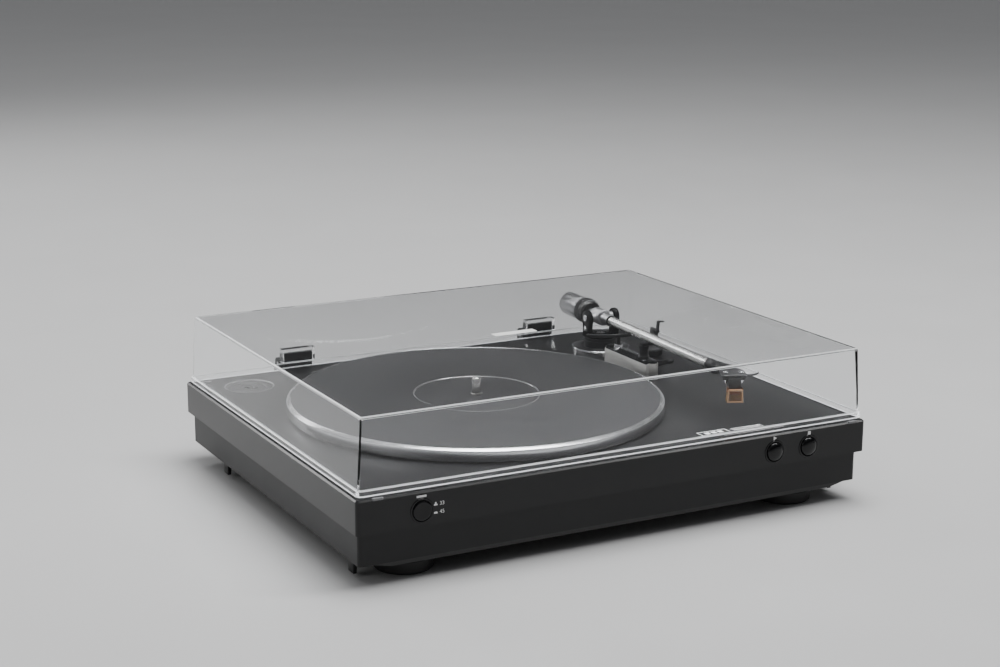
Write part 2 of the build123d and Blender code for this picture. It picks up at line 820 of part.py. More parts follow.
# ======== Tonearm base ========
with BuildPart() as arm_base:
    with BuildSketch(level(deck_top, arm_x, arm_y)):
        Circle(base_radius)
        Circle(9.6, mode=Mode.SUBTRACT)
    extrude(amount=base_height)
    chamfer(arm_base.faces().sort_by(Axis.Z)[-1].edges().sort_by(SortBy.RADIUS)[-1], 0.8)
finish(arm_base, "arm_base")

with BuildPart() as arm_turret:
    with BuildSketch(level(deck_top + base_height, arm_x, arm_y)):
        Circle(turret_radius)
    extrude(amount=turret_top - deck_top - base_height)
    chamfer(arm_turret.faces().sort_by(Axis.Z)[-1].edges(), 0.8)
    with BuildSketch(level(deck_top + base_height, arm_x, arm_y)):
        Circle(9.5)
    extrude(amount=-16.0)
    with BuildSketch(level(turret_top, arm_x, arm_y)):
        Circle(shaft_radius + running_gap)
    extrude(amount=-40.0, mode=Mode.SUBTRACT)
finish(arm_turret, "arm_turret")

yoke_base = turret_top + 0.5
yoke_base_height = 3.0
with BuildPart() as arm_shaft:
    with BuildSketch(level(46.0, arm_x, arm_y)):
        Circle(shaft_radius)
    extrude(amount=yoke_base + yoke_base_height - 46.0)
    with BuildSketch(level(46.0, arm_x, arm_y)):
        with Locations(Location((-23.8, -12.7), 28.0)):
            SlotOverall(66.0, 12.0)
    extrude(amount=1.5)
finish(arm_shaft, "arm_shaft")

with BuildPart() as arm_yoke:
    with BuildSketch(level(yoke_base, arm_x, arm_y)):
        Circle(turret_radius - 0.5)
        Circle(shaft_radius, mode=Mode.SUBTRACT)
    extrude(amount=yoke_base_height)
    for side in (-1, 1):
        with BuildSketch(sideways(0, side * yoke_inner)):
            Circle(7.0)
            with Locations((0, -(arm_z - yoke_base))):
                Rectangle(12.0, arm_z - yoke_base, align=(Align.CENTER, Align.MIN))
        extrude(amount=side * (yoke_outer - yoke_inner))
    with BuildSketch(sideways(0, -yoke_outer - 1)):
        Circle(1.5)
    extrude(amount=2 * yoke_outer + 2, mode=Mode.SUBTRACT)
    with BuildSketch(sideways(0, -yoke_outer)):
        with Locations((0, -9.0)):
            Circle(1.5)
    extrude(amount=yoke_outer - yoke_inner, mode=Mode.SUBTRACT)
finish(arm_yoke, "arm_yoke")

with BuildPart() as pivot_screws:
    for side in (-1, 1):
        with BuildSketch(sideways(0, side * (yoke_inner - 3.0))):
            Circle(1.5)
        extrude(amount=side * (yoke_outer - yoke_inner + 3.0))
        with BuildSketch(sideways(0, side * yoke_outer)):
            Circle(3.0)
        extrude(amount=side * 1.2)
    with BuildSketch(sideways(0, -yoke_outer)):
        with Locations((0, -9.0)):
            Circle(2.2)
    extrude(amount=-1.0)
    with BuildSketch(sideways(0, -yoke_outer)):
        with Locations((0, -9.0)):
            Circle(1.5)
    extrude(amount=yoke_outer - yoke_inner)
finish(pivot_screws, "pivot_screws")

# ======== Tonearm ========
with BuildPart() as arm_housing:
    with BuildSketch(across(-9.0)):
        Circle(7.2)
    extrude(amount=15.0)
    with BuildSketch(sideways(0, -(yoke_inner - 0.5))):
        Circle(4.2)
    extrude(amount=2 * (yoke_inner - 0.5))
    with BuildSketch(across(6.0)):
        Circle(5.2)
    extrude(amount=12.5)
    with BuildSketch(across(18.5)):
        Circle(4.9)
    extrude(amount=tube_start - 18.5)
    with BuildSketch(across(tube_start)):
        Circle(tube_bore)
    extrude(amount=12.0)
    with BuildSketch(across(-9.0)):
        Circle(stub_radius)
    extrude(amount=-49.0)
    for side in (-1, 1):
        with BuildSketch(sideways(0, side * (yoke_inner - 0.5))):
            Circle(1.5 + running_gap)
        extrude(amount=-side * 2.7, mode=Mode.SUBTRACT)
finish(arm_housing, "arm_housing")

with BuildPart() as arm_tube:
    with BuildSketch(across(tube_start)):
        Circle(tube_radius)
        Circle(tube_bore, mode=Mode.SUBTRACT)
    extrude(amount=tube_end - tube_start)
finish(arm_tube, "arm_tube")

with BuildPart() as headshell:
    with BuildSketch(across(tube_end - 12.0)):
        Circle(tube_bore)
    extrude(amount=12.0)
    with BuildSketch(across(tube_end)):
        Circle(5.0)
    extrude(amount=collar_end - tube_end)
    with BuildSketch(head_level(head_top - head_thickness)):
        Polygon(
            (-10.0, -7.0),
            (10.0, -7.0),
            (10.0, 8.0),
            (3.0, 18.0),
            (-5.9, 28.0),
            (-14.6, 24.0),
            (-10.0, 9.0),
            align=None,
        )
    extrude(amount=head_thickness)
    fillet(headshell.edges().filter_by(Axis.Z).group_by(Axis.Y)[0], 1.5)
    with BuildSketch(head_level(head_top - head_thickness)):
        with Locations((9.0, 1.0)):
            SlotOverall(22.0, 4.0)
    extrude(amount=1.0)
    with BuildSketch(head_level(head_top)):
        with Locations((-6.35, 0), (6.35, 0)):
            Circle(1.3)
    extrude(amount=-head_thickness, mode=Mode.SUBTRACT)
finish(headshell, "headshell")

cartridge_top = head_top - head_thickness
with BuildPart() as cartridge:
    with BuildSketch(head_level(cartridge_top)):
        RectangleRounded(17.5, 8.0, 2.0)
        with Locations((-6.35, 0), (6.35, 0)):
            Circle(1.3, mode=Mode.SUBTRACT)
    extrude(amount=-2.5)
    with BuildSketch(head_level(cartridge_top - 2.5)):
        with Locations((0, 0)):
            Rectangle(9.4, 17.0)
    extrude(amount=-6.0)
    with BuildSketch(head_level(cartridge_top)):
        with Locations((0, 4.5)):
            Rectangle(9.4, 8.0)
    extrude(amount=-2.5)
    with BuildSketch(head_upright(-12.5)):
        with Locations(*[(x, cartridge_top - arm_z + z) for x in (-2.5, 2.5) for z in (-4.5, -7.0)]):
            Circle(0.6)
    extrude(amount=4.5)
finish(cartridge, "cartridge")

with BuildPart() as cartridge_screws:
    with BuildSketch(head_level(head_top)):
        with Locations((-6.35, 0), (6.35, 0)):
            Circle(2.1)
    extrude(amount=1.4)
    with BuildSketch(head_level(head_top)):
        with Locations((-6.35, 0), (6.35, 0)):
            Circle(1.25)
    extrude(amount=-8.5)
    with BuildSketch(head_level(cartridge_top - 2.5)):
        with Locations((-6.35, 0), (6.35, 0)):
            Circle(1.25)
    extrude(amount=-1.6)
finish(cartridge_screws, "cartridge_screws")

stylus_top = cartridge_top - 8.5
stylus_tip_z = deck_top + 12.45
stylus_ahead = 9.0
with BuildPart() as stylus:
    with BuildSketch(head_level(stylus_top)):
        with Locations((0, -3.25)):
            Rectangle(8.4, 13.5)
    extrude(amount=-5.0, taper=8)
    with BuildSketch(head_level(stylus_top - 4.5)):
        with Locations((0, -stylus_ahead)):
            Circle(0.7)
    extrude(amount=stylus_tip_z + 0.6 - stylus_top + 4.5)
    with BuildSketch(head_level(stylus_tip_z + 0.6)):
        with Locations((0, -stylus_ahead)):
            Circle(0.5)
    extrude(amount=-0.6, taper=30)
finish(stylus, "stylus")

guard_bottom = deck_top + 11.9
guard_top = stylus_top - 0.2
guard_pivot_ahead = 8.0
guard_pivot_z = deck_top + 22.8
with BuildPart() as stylus_guard:
    with BuildSketch(head_upright(11.6)):
        Polygon(
            (-6.5, guard_bottom - arm_z),
            (6.5, guard_bottom - arm_z),
            (5.9, guard_top - arm_z),
            (-5.9, guard_top - arm_z),
            align=None,
        )
    extrude(amount=-8.6)
    with BuildSketch(head_upright(10.6)):
        Polygon(
            (-5.5, guard_bottom - arm_z - 1),
            (5.5, guard_bottom - arm_z - 1),
            (5.0, guard_top - arm_z + 1),
            (-5.0, guard_top - arm_z + 1),
            align=None,
        )
    extrude(amount=-9.0, mode=Mode.SUBTRACT)
    for side in (-1, 1):
        with BuildSketch(head_side(guard_pivot_ahead, side * 5.3)):
            with Locations((0, guard_pivot_z - arm_z)):
                Circle(1.2)
        extrude(amount=side * 1.3)
finish(stylus_guard, "stylus_guard")

with BuildPart() as weight_bush:
    with BuildSketch(across(weight_back + 2.0)):
        Circle(5.4)
        Circle(stub_radius + running_gap, mode=Mode.SUBTRACT)
    extrude(amount=26.0)
finish(weight_bush, "weight_bush")

with BuildPart() as counterweight:
    with BuildSketch(across(weight_back)):
        Circle(weight_radius)
    extrude(amount=weight_front - weight_back)
    chamfer(counterweight.edges().filter_by(GeomType.CIRCLE), 0.8)
    with BuildSketch(across(weight_back)):
        Circle(5.4 + running_gap)
    extrude(amount=weight_front - weight_back, mode=Mode.SUBTRACT)
finish(counterweight, "counterweight")

with BuildPart() as force_dial:
    with BuildSketch(across(weight_front + 0.4)):
        Circle(dial_radius)
    extrude(amount=dial_front - weight_front - 0.4)
    chamfer(force_dial.edges().filter_by(GeomType.CIRCLE), 0.8)
    with BuildSketch(across(weight_front + 0.4)):
        Circle(stub_radius + running_gap)
    extrude(amount=dial_front - weight_front - 0.4, mode=Mode.SUBTRACT)
finish(force_dial, "force_dial")

# ======== Bar beside the arm, rest, lift and lever ========
bar_width = bar_right - bar_left
bar_middle = (bar_left + bar_right) / 2
bar_length = bar_back - bar_front
with BuildPart() as arm_bracket:
    with BuildSketch(level(deck_top, bar_middle, (bar_front + bar_back) / 2)):
        Rectangle(bar_width, bar_length)
    extrude(amount=bar_height)
    fillet(arm_bracket.edges().filter_by(Axis.Z).group_by(Axis.Y)[0], 2.5)
    with BuildSketch(level(deck_top, arm_x, arm_y)):
        Circle(base_radius + 0.1)
    extrude(amount=bar_height, mode=Mode.SUBTRACT)
    with BuildSketch(level(deck_top + bar_height, lift_x, lift_y)):
        Circle(lift_stem_radius + 0.5)
    extrude(amount=-8.0, mode=Mode.SUBTRACT)
    with BuildSketch(facing_right(bar_right, cue_pivot_y, cue_pivot_z)):
        Circle(2.0 + running_gap)
    extrude(amount=-6.0, mode=Mode.SUBTRACT)
finish(arm_bracket, "arm_bracket")

with BuildPart() as bracket_cover:
    with BuildSketch(level(deck_top + bar_height, bar_middle, (bar_front + bar_back) / 2)):
        Rectangle(bar_width - 1.6, bar_length - 1.6)
    extrude(amount=bar_cover)
    fillet(bracket_cover.edges().filter_by(Axis.Z).group_by(Axis.Y)[0], 2.0)
    with BuildSketch(level(deck_top + bar_height, arm_x, arm_y)):
        Circle(base_radius + 0.1)
    extrude(amount=bar_cover, mode=Mode.SUBTRACT)
    with BuildSketch(level(bar_top, lift_x, lift_y)):
        Circle(lift_stem_radius + 0.5)
    extrude(amount=-bar_cover, mode=Mode.SUBTRACT)
finish(bracket_cover, "bracket_cover")

rest_point = arm_pivot + arm_forward * rest_distance
saddle_top = arm_z - tube_radius - rest_gap
with BuildPart() as arm_rest:
    with BuildSketch(level(bar_top, rest_point.X - 3.0, rest_point.Y)):
        Circle(rest_post_radius)
    extrude(amount=saddle_top - 2.0 - bar_top)
    with BuildSketch(across(rest_distance - 4.0)):
        with Locations((-7.0, saddle_top - arm_z)):
            Rectangle(15.6, 2.4, align=(Align.MIN, Align.MAX))
        with Locations((tube_radius + 0.6, saddle_top - arm_z)):
            Rectangle(3.75, clip_z - saddle_top, align=(Align.MIN, Align.MIN))
        with Locations((clip_side, clip_z - arm_z)):
            Circle(1.85)
    extrude(amount=8.0)
    with BuildSketch(across(rest_distance - 4.0)):
        with Locations((clip_side, clip_z - arm_z)):
            Circle(1.0 + running_gap)
    extrude(amount=8.0, mode=Mode.SUBTRACT)
finish(arm_rest, "arm_rest")

clip_turn = radians(clip_open_angle)
clip_plane = Plane(
    origin=arm_pivot + arm_forward * (rest_distance + 4.3) + arm_right * clip_side
    + Vector(0, 0, clip_z - arm_z),
    x_dir=arm_right * cos(clip_turn) + Vector(0, 0, 1) * sin(clip_turn),
    z_dir=arm_forward,
)
with BuildPart() as rest_clip:
    with BuildSketch(clip_plane):
        Circle(1.8)
        with Locations((0, 0)):
            Rectangle(clip_length, 1.8, align=(Align.MIN, Align.CENTER))
        with Locations((clip_length, -5.4)):
            Rectangle(1.2, 6.6, align=(Align.MIN, Align.MIN))
    extrude(amount=3.0)
    with BuildSketch(clip_plane):
        Circle(1.0)
    extrude(amount=-8.0)
finish(rest_clip, "rest_clip")

with BuildPart() as lift_cylinder:
    with BuildSketch(level(bar_top, lift_x, lift_y)):
        Circle(4.0)
        Circle(lift_stem_radius + running_gap, mode=Mode.SUBTRACT)
    extrude(amount=5.0)
finish(lift_cylinder, "lift_cylinder")

lift_top = arm_z - tube_radius - rest_gap
lift_start = -90.0 + 3.0
with BuildPart() as lift_bar:
    with BuildSketch(level(lift_top - lift_bar_height, arm_x, arm_y)):
        with BuildLine():
            CenterArc((0, 0), lift_arc_radius, lift_start, -49.0)
        trace(line_width=lift_bar_width)
    extrude(amount=lift_bar_height)
    with BuildSketch(level(lift_top - lift_bar_height, lift_x, lift_y)):
        Circle(lift_stem_radius)
    extrude(amount=-(lift_top - lift_bar_height - bar_top) - 1.5)
finish(lift_bar, "lift_bar")

with BuildPart() as cue_lever:
    with BuildSketch(facing_right(bar_right + 0.6, cue_pivot_y, cue_pivot_z)):
        Circle(3.6)
        Polygon((0, 3.2), (0, -3.2), (-24.0, 5.6), (-26.0, 9.4), align=None)
    extrude(amount=2.6)
    with BuildSketch(facing_right(bar_right + 0.6, cue_pivot_y, cue_pivot_z)):
        Polygon((-20.0, 4.4), (-24.5, 5.4), (-27.5, 9.0), (-26.0, 10.4), (-19.5, 7.6), align=None)
    extrude(amount=6.0)
    with BuildSketch(facing_right(bar_right + 0.6, cue_pivot_y, cue_pivot_z)):
        Circle(2.0)
    extrude(amount=-6.0)
finish(cue_lever, "cue_lever")

with BuildPart() as antiskate_knob:
    with BuildSketch(level(deck_top + 0.4, knob_x, knob_y)):
        Circle(9.0)
    extrude(amount=6.5)
    chamfer(antiskate_knob.faces().sort_by(Axis.Z)[-1].edges(), 1.0)
    with BuildSketch(level(deck_top + 6.9, knob_x, knob_y)):
        with Locations((0, 5.5)):
            Rectangle(1.2, 4.5)
    extrude(amount=-0.6, mode=Mode.SUBTRACT)
    with BuildSketch(level(deck_top + 0.4, knob_x, knob_y)):
        Circle(3.0)
    extrude(amount=-8.0)
finish(antiskate_knob, "antiskate_knob")
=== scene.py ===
"""Visible pieces, looks and studio of the record player, over its CAD in the shared frame."""
from math import cos, pi, radians, sin

import bmesh
import bpy
from mathutils import Matrix, Vector


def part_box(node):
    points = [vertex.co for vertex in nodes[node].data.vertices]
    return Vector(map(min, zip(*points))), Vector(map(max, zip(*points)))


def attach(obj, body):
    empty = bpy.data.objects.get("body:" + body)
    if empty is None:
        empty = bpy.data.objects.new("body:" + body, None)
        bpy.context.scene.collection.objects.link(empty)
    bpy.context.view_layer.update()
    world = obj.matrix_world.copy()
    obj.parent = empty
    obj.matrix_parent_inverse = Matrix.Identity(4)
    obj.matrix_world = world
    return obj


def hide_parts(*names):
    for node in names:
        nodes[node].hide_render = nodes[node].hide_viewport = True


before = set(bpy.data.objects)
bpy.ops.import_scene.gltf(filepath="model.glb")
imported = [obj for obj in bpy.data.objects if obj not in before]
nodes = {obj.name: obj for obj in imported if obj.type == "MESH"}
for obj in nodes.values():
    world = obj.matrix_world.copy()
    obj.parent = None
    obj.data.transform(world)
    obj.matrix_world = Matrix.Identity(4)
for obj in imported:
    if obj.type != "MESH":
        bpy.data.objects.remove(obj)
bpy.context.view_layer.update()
MM = 0.001

# ---------------------------------------------------------------- places, in millimetres
DECK = 66.5
FRONT = -182.5
PLATTER = Vector((-37.0, -8.2, 0.0))
PIVOT = Vector((143.7, 97.6, 98.5))
ADAPTER = (-176.0, 135.0)
KNOB = (178.0, 65.0)
LIFT_POST = (133.0, 50.0)
LEVER_AXLE = Vector((142.0, 12.0, DECK + 8.0))
REST_AHEAD = 82.7
TUBE_RADIUS = 4.25
LIFT_GAP = 0.45
STYLUS_AHEAD = 9.2
YAW = radians(2.48)
HEAD_YAW = radians(24.98)
UP = Vector((0, 0, 1))
RIGHT = Vector((1, 0, 0))
REAR = Vector((0, 1, 0))
HERE = Matrix.Identity(4)

# the clear cover, in metres: its lip, its walls' lean, and its half sizes at the lip
COVER_LIP = 0.0681
COVER_TOP = 0.1244
COVER_LEAN = 0.05766
COVER_HALF_WIDTH = 0.2171
COVER_HALF_DEPTH = 0.17305
COVER_MIDDLE_Y = -0.00645
# height above the lip of the second painted highlight line
COVER_LIP_HIGHLIGHT = 0.0043


def heading(yaw):
    """Unit vectors forward and to the right for a heading turned inward from the front."""
    return Vector((-sin(yaw), -cos(yaw), 0)), Vector((cos(yaw), -sin(yaw), 0))


ARM, ARM_RIGHT = heading(YAW)
HEAD, HEAD_RIGHT = heading(HEAD_YAW)
SCREWS = PIVOT + ARM * 219.3


def placed(origin, x, y, z):
    """A matrix whose columns are the given axes, at origin."""
    return Matrix((
        (x.x, y.x, z.x, origin.x),
        (x.y, y.y, z.y, origin.y),
        (x.z, y.z, z.z, origin.z),
        (0, 0, 0, 1),
    ))


ON_ARM = placed(PIVOT, ARM_RIGHT, UP, ARM)
ON_HEAD = placed(Vector((SCREWS.x, SCREWS.y, DECK)), HEAD_RIGHT, -HEAD, UP)


def upright(x, y, z=0.0):
    return Matrix.Translation(Vector((x, y, z)))


def facing_front(x, y, z):
    """Local Z points out of the front, local Y up."""
    return placed(Vector((x, y, z)), RIGHT, UP, -REAR)


# ---------------------------------------------------------------- materials
def new_material(name):
    mat = bpy.data.materials.new(name)
    mat.use_nodes = True
    nt = mat.node_tree
    shader = nt.nodes["Principled BSDF"]
    return mat, nt, shader


def math_node(nt, operation, a, b=None):
    n = nt.nodes.new("ShaderNodeMath")
    n.operation = operation
    for i, v in enumerate((a, b)):
        if v is None:
            continue
        if isinstance(v, (int, float)):
            n.inputs[i].default_value = v
        else:
            nt.links.new(v, n.inputs[i])
    return n.outputs[0]


def remap(nt, value, low, high, from_low=0.0, from_high=1.0):
    n = nt.nodes.new("ShaderNodeMapRange")
    nt.links.new(value, n.inputs["Value"])
    n.inputs["From Min"].default_value = from_low
    n.inputs["From Max"].default_value = from_high
    n.inputs["To Min"].default_value = low
    n.inputs["To Max"].default_value = high
    return n.outputs[0]


def object_coords(nt):
    return nt.nodes.new("ShaderNodeTexCoord").outputs["Object"]


def noise(nt, scale, detail=4.0):
    """Noise in the space of the object, in metres."""
    n = nt.nodes.new("ShaderNodeTexNoise")
    n.inputs["Scale"].default_value = scale
    n.inputs["Detail"].default_value = detail
    n.inputs["Roughness"].default_value = 0.55
    nt.links.new(object_coords(nt), n.inputs["Vector"])
    return n.outputs["Fac"]


def line_noise(nt, place, scale):
    n = nt.nodes.new("ShaderNodeTexNoise")
    n.noise_dimensions = "1D"
    n.inputs["Scale"].default_value = scale
    n.inputs["Detail"].default_value = 3.0
    nt.links.new(place, n.inputs["W"])
    return n.outputs["Fac"]


def along(nt, direction):
    """The distance along a direction, in metres."""
    n = nt.nodes.new("ShaderNodeVectorMath")
    n.operation = "DOT_PRODUCT"
    n.inputs[1].default_value = direction
    nt.links.new(object_coords(nt), n.inputs[0])
    return n.outputs["Value"]


def radius_round(nt, centre):
    """The distance from an upright axis, in metres."""
    n = nt.nodes.new("ShaderNodeVectorMath")
    n.operation = "SUBTRACT"
    n.inputs[1].default_value = (centre[0] * MM, centre[1] * MM, 0)
    nt.links.new(object_coords(nt), n.inputs[0])
    flat = nt.nodes.new("ShaderNodeVectorMath")
    flat.operation = "MULTIPLY"
    flat.inputs[1].default_value = (1, 1, 0)
    nt.links.new(n.outputs[0], flat.inputs[0])
    length = nt.nodes.new("ShaderNodeVectorMath")
    length.operation = "LENGTH"
    nt.links.new(flat.outputs[0], length.inputs[0])
    return length.outputs["Value"]


def add_bump(nt, shader, height, strength, distance):
    b = nt.nodes.new("ShaderNodeBump")
    b.inputs["Strength"].default_value = strength
    b.inputs["Distance"].default_value = distance
    nt.links.new(height, b.inputs["Height"])
    if shader.inputs["Normal"].is_linked:
        nt.links.new(shader.inputs["Normal"].links[0].from_socket, b.inputs["Normal"])
    nt.links.new(b.outputs["Normal"], shader.inputs["Normal"])


def vary_colour(nt, shader, fac, low, high):
    ramp = nt.nodes.new("ShaderNodeMix")
    ramp.data_type = "RGBA"
    ramp.inputs["A"].default_value = (*low, 1)
    ramp.inputs["B"].default_value = (*high, 1)
    nt.links.new(fac, ramp.inputs["Factor"])
    nt.links.new(ramp.outputs["Result"], shader.inputs["Base Color"])


def plastic(name, colour, rough, spread=0.06, grain=900.0, bump=0.12, patch=14.0, shine=0.5):
    """Moulded or painted surface: fine grain, uneven gloss and slight shade changes."""
    mat, nt, s = new_material(name)
    vary_colour(nt, s, noise(nt, patch * 3), [c * 0.82 for c in colour], [c * 1.18 for c in colour])
    nt.links.new(remap(nt, noise(nt, patch), rough - spread, rough + spread), s.inputs["Roughness"])
    add_bump(nt, s, noise(nt, grain, 6.0), bump, 0.0002)
    s.inputs["Specular IOR Level"].default_value = shine
    return mat


def metal(name, colour, rough, place=None, lines=9000.0, bump=0.15, spread=0.07, patch=30.0,
          metallic=1.0):
    """Machined metal: fine tool lines along place, with uneven polish."""
    mat, nt, s = new_material(name)
    s.inputs["Metallic"].default_value = metallic
    vary_colour(nt, s, noise(nt, patch), [c * 0.93 for c in colour],
                [min(1, c * 1.05) for c in colour])
    if place is None:
        fine = noise(nt, 1500.0, 5.0)
    else:
        fine = line_noise(nt, place(nt), lines)
    level = math_node(nt, "ADD", math_node(nt, "MULTIPLY", fine, 0.6),
                      math_node(nt, "MULTIPLY", noise(nt, patch * 2), 0.4))
    nt.links.new(remap(nt, level, rough - spread, rough + spread, 0.3, 0.7), s.inputs["Roughness"])
    add_bump(nt, s, fine, bump, 0.00005)
    return mat


def near(nt, value, target, width):
    """1 where value is within width of target."""
    n = math_node(nt, "COMPARE", value, target)
    n.node.inputs[2].default_value = width
    return n


def painted_cover_highlights(nt):
    """1 along the cover's moulded edges and on two lines round its lip, where a painted highlight
    stands in for the light that clear plastic catches there.
    """
    split = nt.nodes.new("ShaderNodeSeparateXYZ")
    nt.links.new(object_coords(nt), split.inputs[0])
    rise = math_node(nt, "SUBTRACT", split.outputs["Z"], COVER_LIP)
    lean = math_node(nt, "MULTIPLY", rise, COVER_LEAN)
    side = math_node(nt, "ABSOLUTE", split.outputs["X"])
    side = math_node(nt, "SUBTRACT", math_node(nt, "SUBTRACT", COVER_HALF_WIDTH, side), lean)
    ends = math_node(nt, "ABSOLUTE", math_node(nt, "ADD", split.outputs["Y"], -COVER_MIDDLE_Y))
    ends = math_node(nt, "SUBTRACT", math_node(nt, "SUBTRACT", COVER_HALF_DEPTH, ends), lean)
    top = math_node(nt, "SUBTRACT", COVER_TOP, split.outputs["Z"])
    found = []
    for place, width in ((0.0, 0.0010), (0.0020, 0.0004)):
        for a in (side, ends):
            found.append(math_node(nt, "MULTIPLY", near(nt, a, place, width),
                                   near(nt, top, place, width)))
    for lip_highlight_height in (0.0, COVER_LIP_HIGHLIGHT):
        found.append(near(nt, rise, lip_highlight_height, 0.00035))
    highlight_mask = found[0]
    for line in found[1:]:
        highlight_mask = math_node(nt, "MAXIMUM", highlight_mask, line)
    return highlight_mask


def clear(name, tint, lamp_tint, rough, ior, edges=None):
    """Clear plastic that lets lamps through to what is under it."""
    mat, nt, s = new_material(name)
    if edges:
        # painted highlight: where the mask is 1 the cover is painted near-white, rougher and less
        # clear
        highlight_mask = edges(nt)
        vary_colour(nt, s, highlight_mask, tint, (0.93, 0.94, 0.95))
        nt.links.new(remap(nt, highlight_mask, rough, 0.3), s.inputs["Roughness"])
        nt.links.new(remap(nt, highlight_mask, 1.0, 0.25), s.inputs["Transmission Weight"])
    else:
        s.inputs["Base Color"].default_value = (*tint, 1)
        s.inputs["Roughness"].default_value = rough
        s.inputs["Transmission Weight"].default_value = 1.0
    s.inputs["IOR"].default_value = ior
    see = nt.nodes.new("ShaderNodeBsdfTransparent")
    see.inputs["Color"].default_value = (*lamp_tint, 1)
    rays = nt.nodes.new("ShaderNodeLightPath")
    mix = nt.nodes.new("ShaderNodeMixShader")
    nt.links.new(rays.outputs["Is Shadow Ray"], mix.inputs["Fac"])
    nt.links.new(s.outputs["BSDF"], mix.inputs[1])
    nt.links.new(see.outputs["BSDF"], mix.inputs[2])
    nt.links.new(mix.outputs["Shader"], nt.nodes["Material Output"].inputs["Surface"])
    return mat


def platter_radius(nt):
    return radius_round(nt, PLATTER)


def arm_length(nt):
    return along(nt, ARM)


def height(nt):
    return along(nt, UP)


deck_black = plastic("deck_black", (0.0075, 0.0075, 0.008), 0.28, 0.015, 2200.0, 0.014, patch=4.0,
                     shine=0.32)
tray_black = plastic("tray_black", (0.008, 0.008, 0.0085), 0.42, 0.05, 900.0, 0.2, patch=14.0,
                     shine=0.32)
panel_black = plastic("panel_black", (0.02, 0.02, 0.02), 0.6, 0.08, 500.0, 0.4)
foot_rubber = plastic("foot_rubber", (0.012, 0.012, 0.012), 0.62, 0.08, 900.0, 0.5)
arm_black = plastic("arm_black", (0.010, 0.010, 0.011), 0.33, 0.06, 1200.0, 0.15)
shell_black = plastic("shell_black", (0.011, 0.011, 0.012), 0.3, 0.05, 1500.0, 0.12)
gloss_black = plastic("gloss_black", (0.003, 0.003, 0.0035), 0.12, 0.03, 300.0, 0.02, patch=14.0,
                      shine=0.3)
hinge_black = plastic("hinge_black", (0.013, 0.013, 0.014), 0.38, 0.06, 900.0, 0.3)
part_black = plastic("part_black", (0.016, 0.016, 0.017), 0.45, 0.08, 900.0, 0.25)
board_green = plastic("board_green", (0.012, 0.10, 0.035), 0.35, 0.06, 600.0, 0.15)
nylon = plastic("nylon", (0.68, 0.66, 0.6), 0.42, 0.06, 700.0, 0.2)
belt_rubber = plastic("belt_rubber", (0.015, 0.015, 0.015), 0.5, 0.06, 900.0, 0.2)
bumper_rubber = plastic("bumper_rubber", (0.16, 0.16, 0.165), 0.5, 0.06, 900.0, 0.2)
label_paper = plastic("label_paper", (0.86, 0.86, 0.84), 0.5, 0.05, 1600.0, 0.1)
ink_white = plastic("ink_white", (0.78, 0.78, 0.78), 0.5, 0.05, 1600.0, 0.05)
ink_grey = plastic("ink_grey", (0.2, 0.2, 0.2), 0.5, 0.05, 1600.0, 0.05)
mat_rubber = plastic("mat_rubber", (0.022, 0.022, 0.023), 0.50, 0.03, 1800.0, 0.2, patch=5.0,
                     shine=0.42)
aluminium = metal("aluminium", (0.80, 0.80, 0.81), 0.24, platter_radius, 5000.0, 0.25)
tube_aluminium = metal("tube_aluminium", (0.76, 0.76, 0.75), 0.25, arm_length, 1400.0, bump=0.015,
                       spread=0.015, patch=8.0, metallic=0.92)
block_aluminium = metal("block_aluminium", (0.74, 0.73, 0.70), 0.36, height, 4000.0, bump=0.03,
                        spread=0.03, patch=6.0, metallic=0.75)
stub_grey = metal("stub_grey", (0.55, 0.55, 0.56), 0.33, arm_length, 3000.0, 0.1)
weight_metal = metal("weight_metal", (0.46, 0.46, 0.47), 0.31, arm_length, 1400.0, bump=0.02,
                     spread=0.02, patch=8.0)
# lighter grey metal on rims that are really black: a painted highlight, with real glints from the
# lamps on top of it
painted_rim_highlight = metal("painted_rim_highlight", (0.42, 0.42, 0.43), 0.22, bump=0.02, spread=0.04, metallic=0.8)
steel = metal("steel", (0.62, 0.62, 0.63), 0.25, bump=0.1)
bright = metal("bright", (0.78, 0.78, 0.79), 0.14, bump=0.05)
spindle_steel = metal("spindle_steel", (0.80, 0.79, 0.77), 0.15, height, 6000.0, 0.08)
brass = metal("brass", (0.80, 0.60, 0.28), 0.25, bump=0.1)
# the acrylic cover's edges carry a painted highlight
acrylic = clear("acrylic", (0.97, 0.975, 0.98), (0.93, 0.935, 0.94), 0.0, 1.3, painted_cover_highlights)
amber = clear("amber", (0.86, 0.50, 0.22), (0.8, 0.5, 0.25), 0.22, 1.4)
socket_white = plastic("socket_white", (0.75, 0.75, 0.73), 0.4, 0.05, 900.0, 0.1)
socket_red = plastic("socket_red", (0.50, 0.02, 0.018), 0.4, 0.05, 900.0, 0.1)
guard_light = plastic("guard_light", (0.50, 0.31, 0.18), 0.3, 0.05, 900.0, 0.1)
amber_dark = plastic("amber_dark", (0.16, 0.055, 0.018), 0.3, 0.05, 900.0, 0.1)

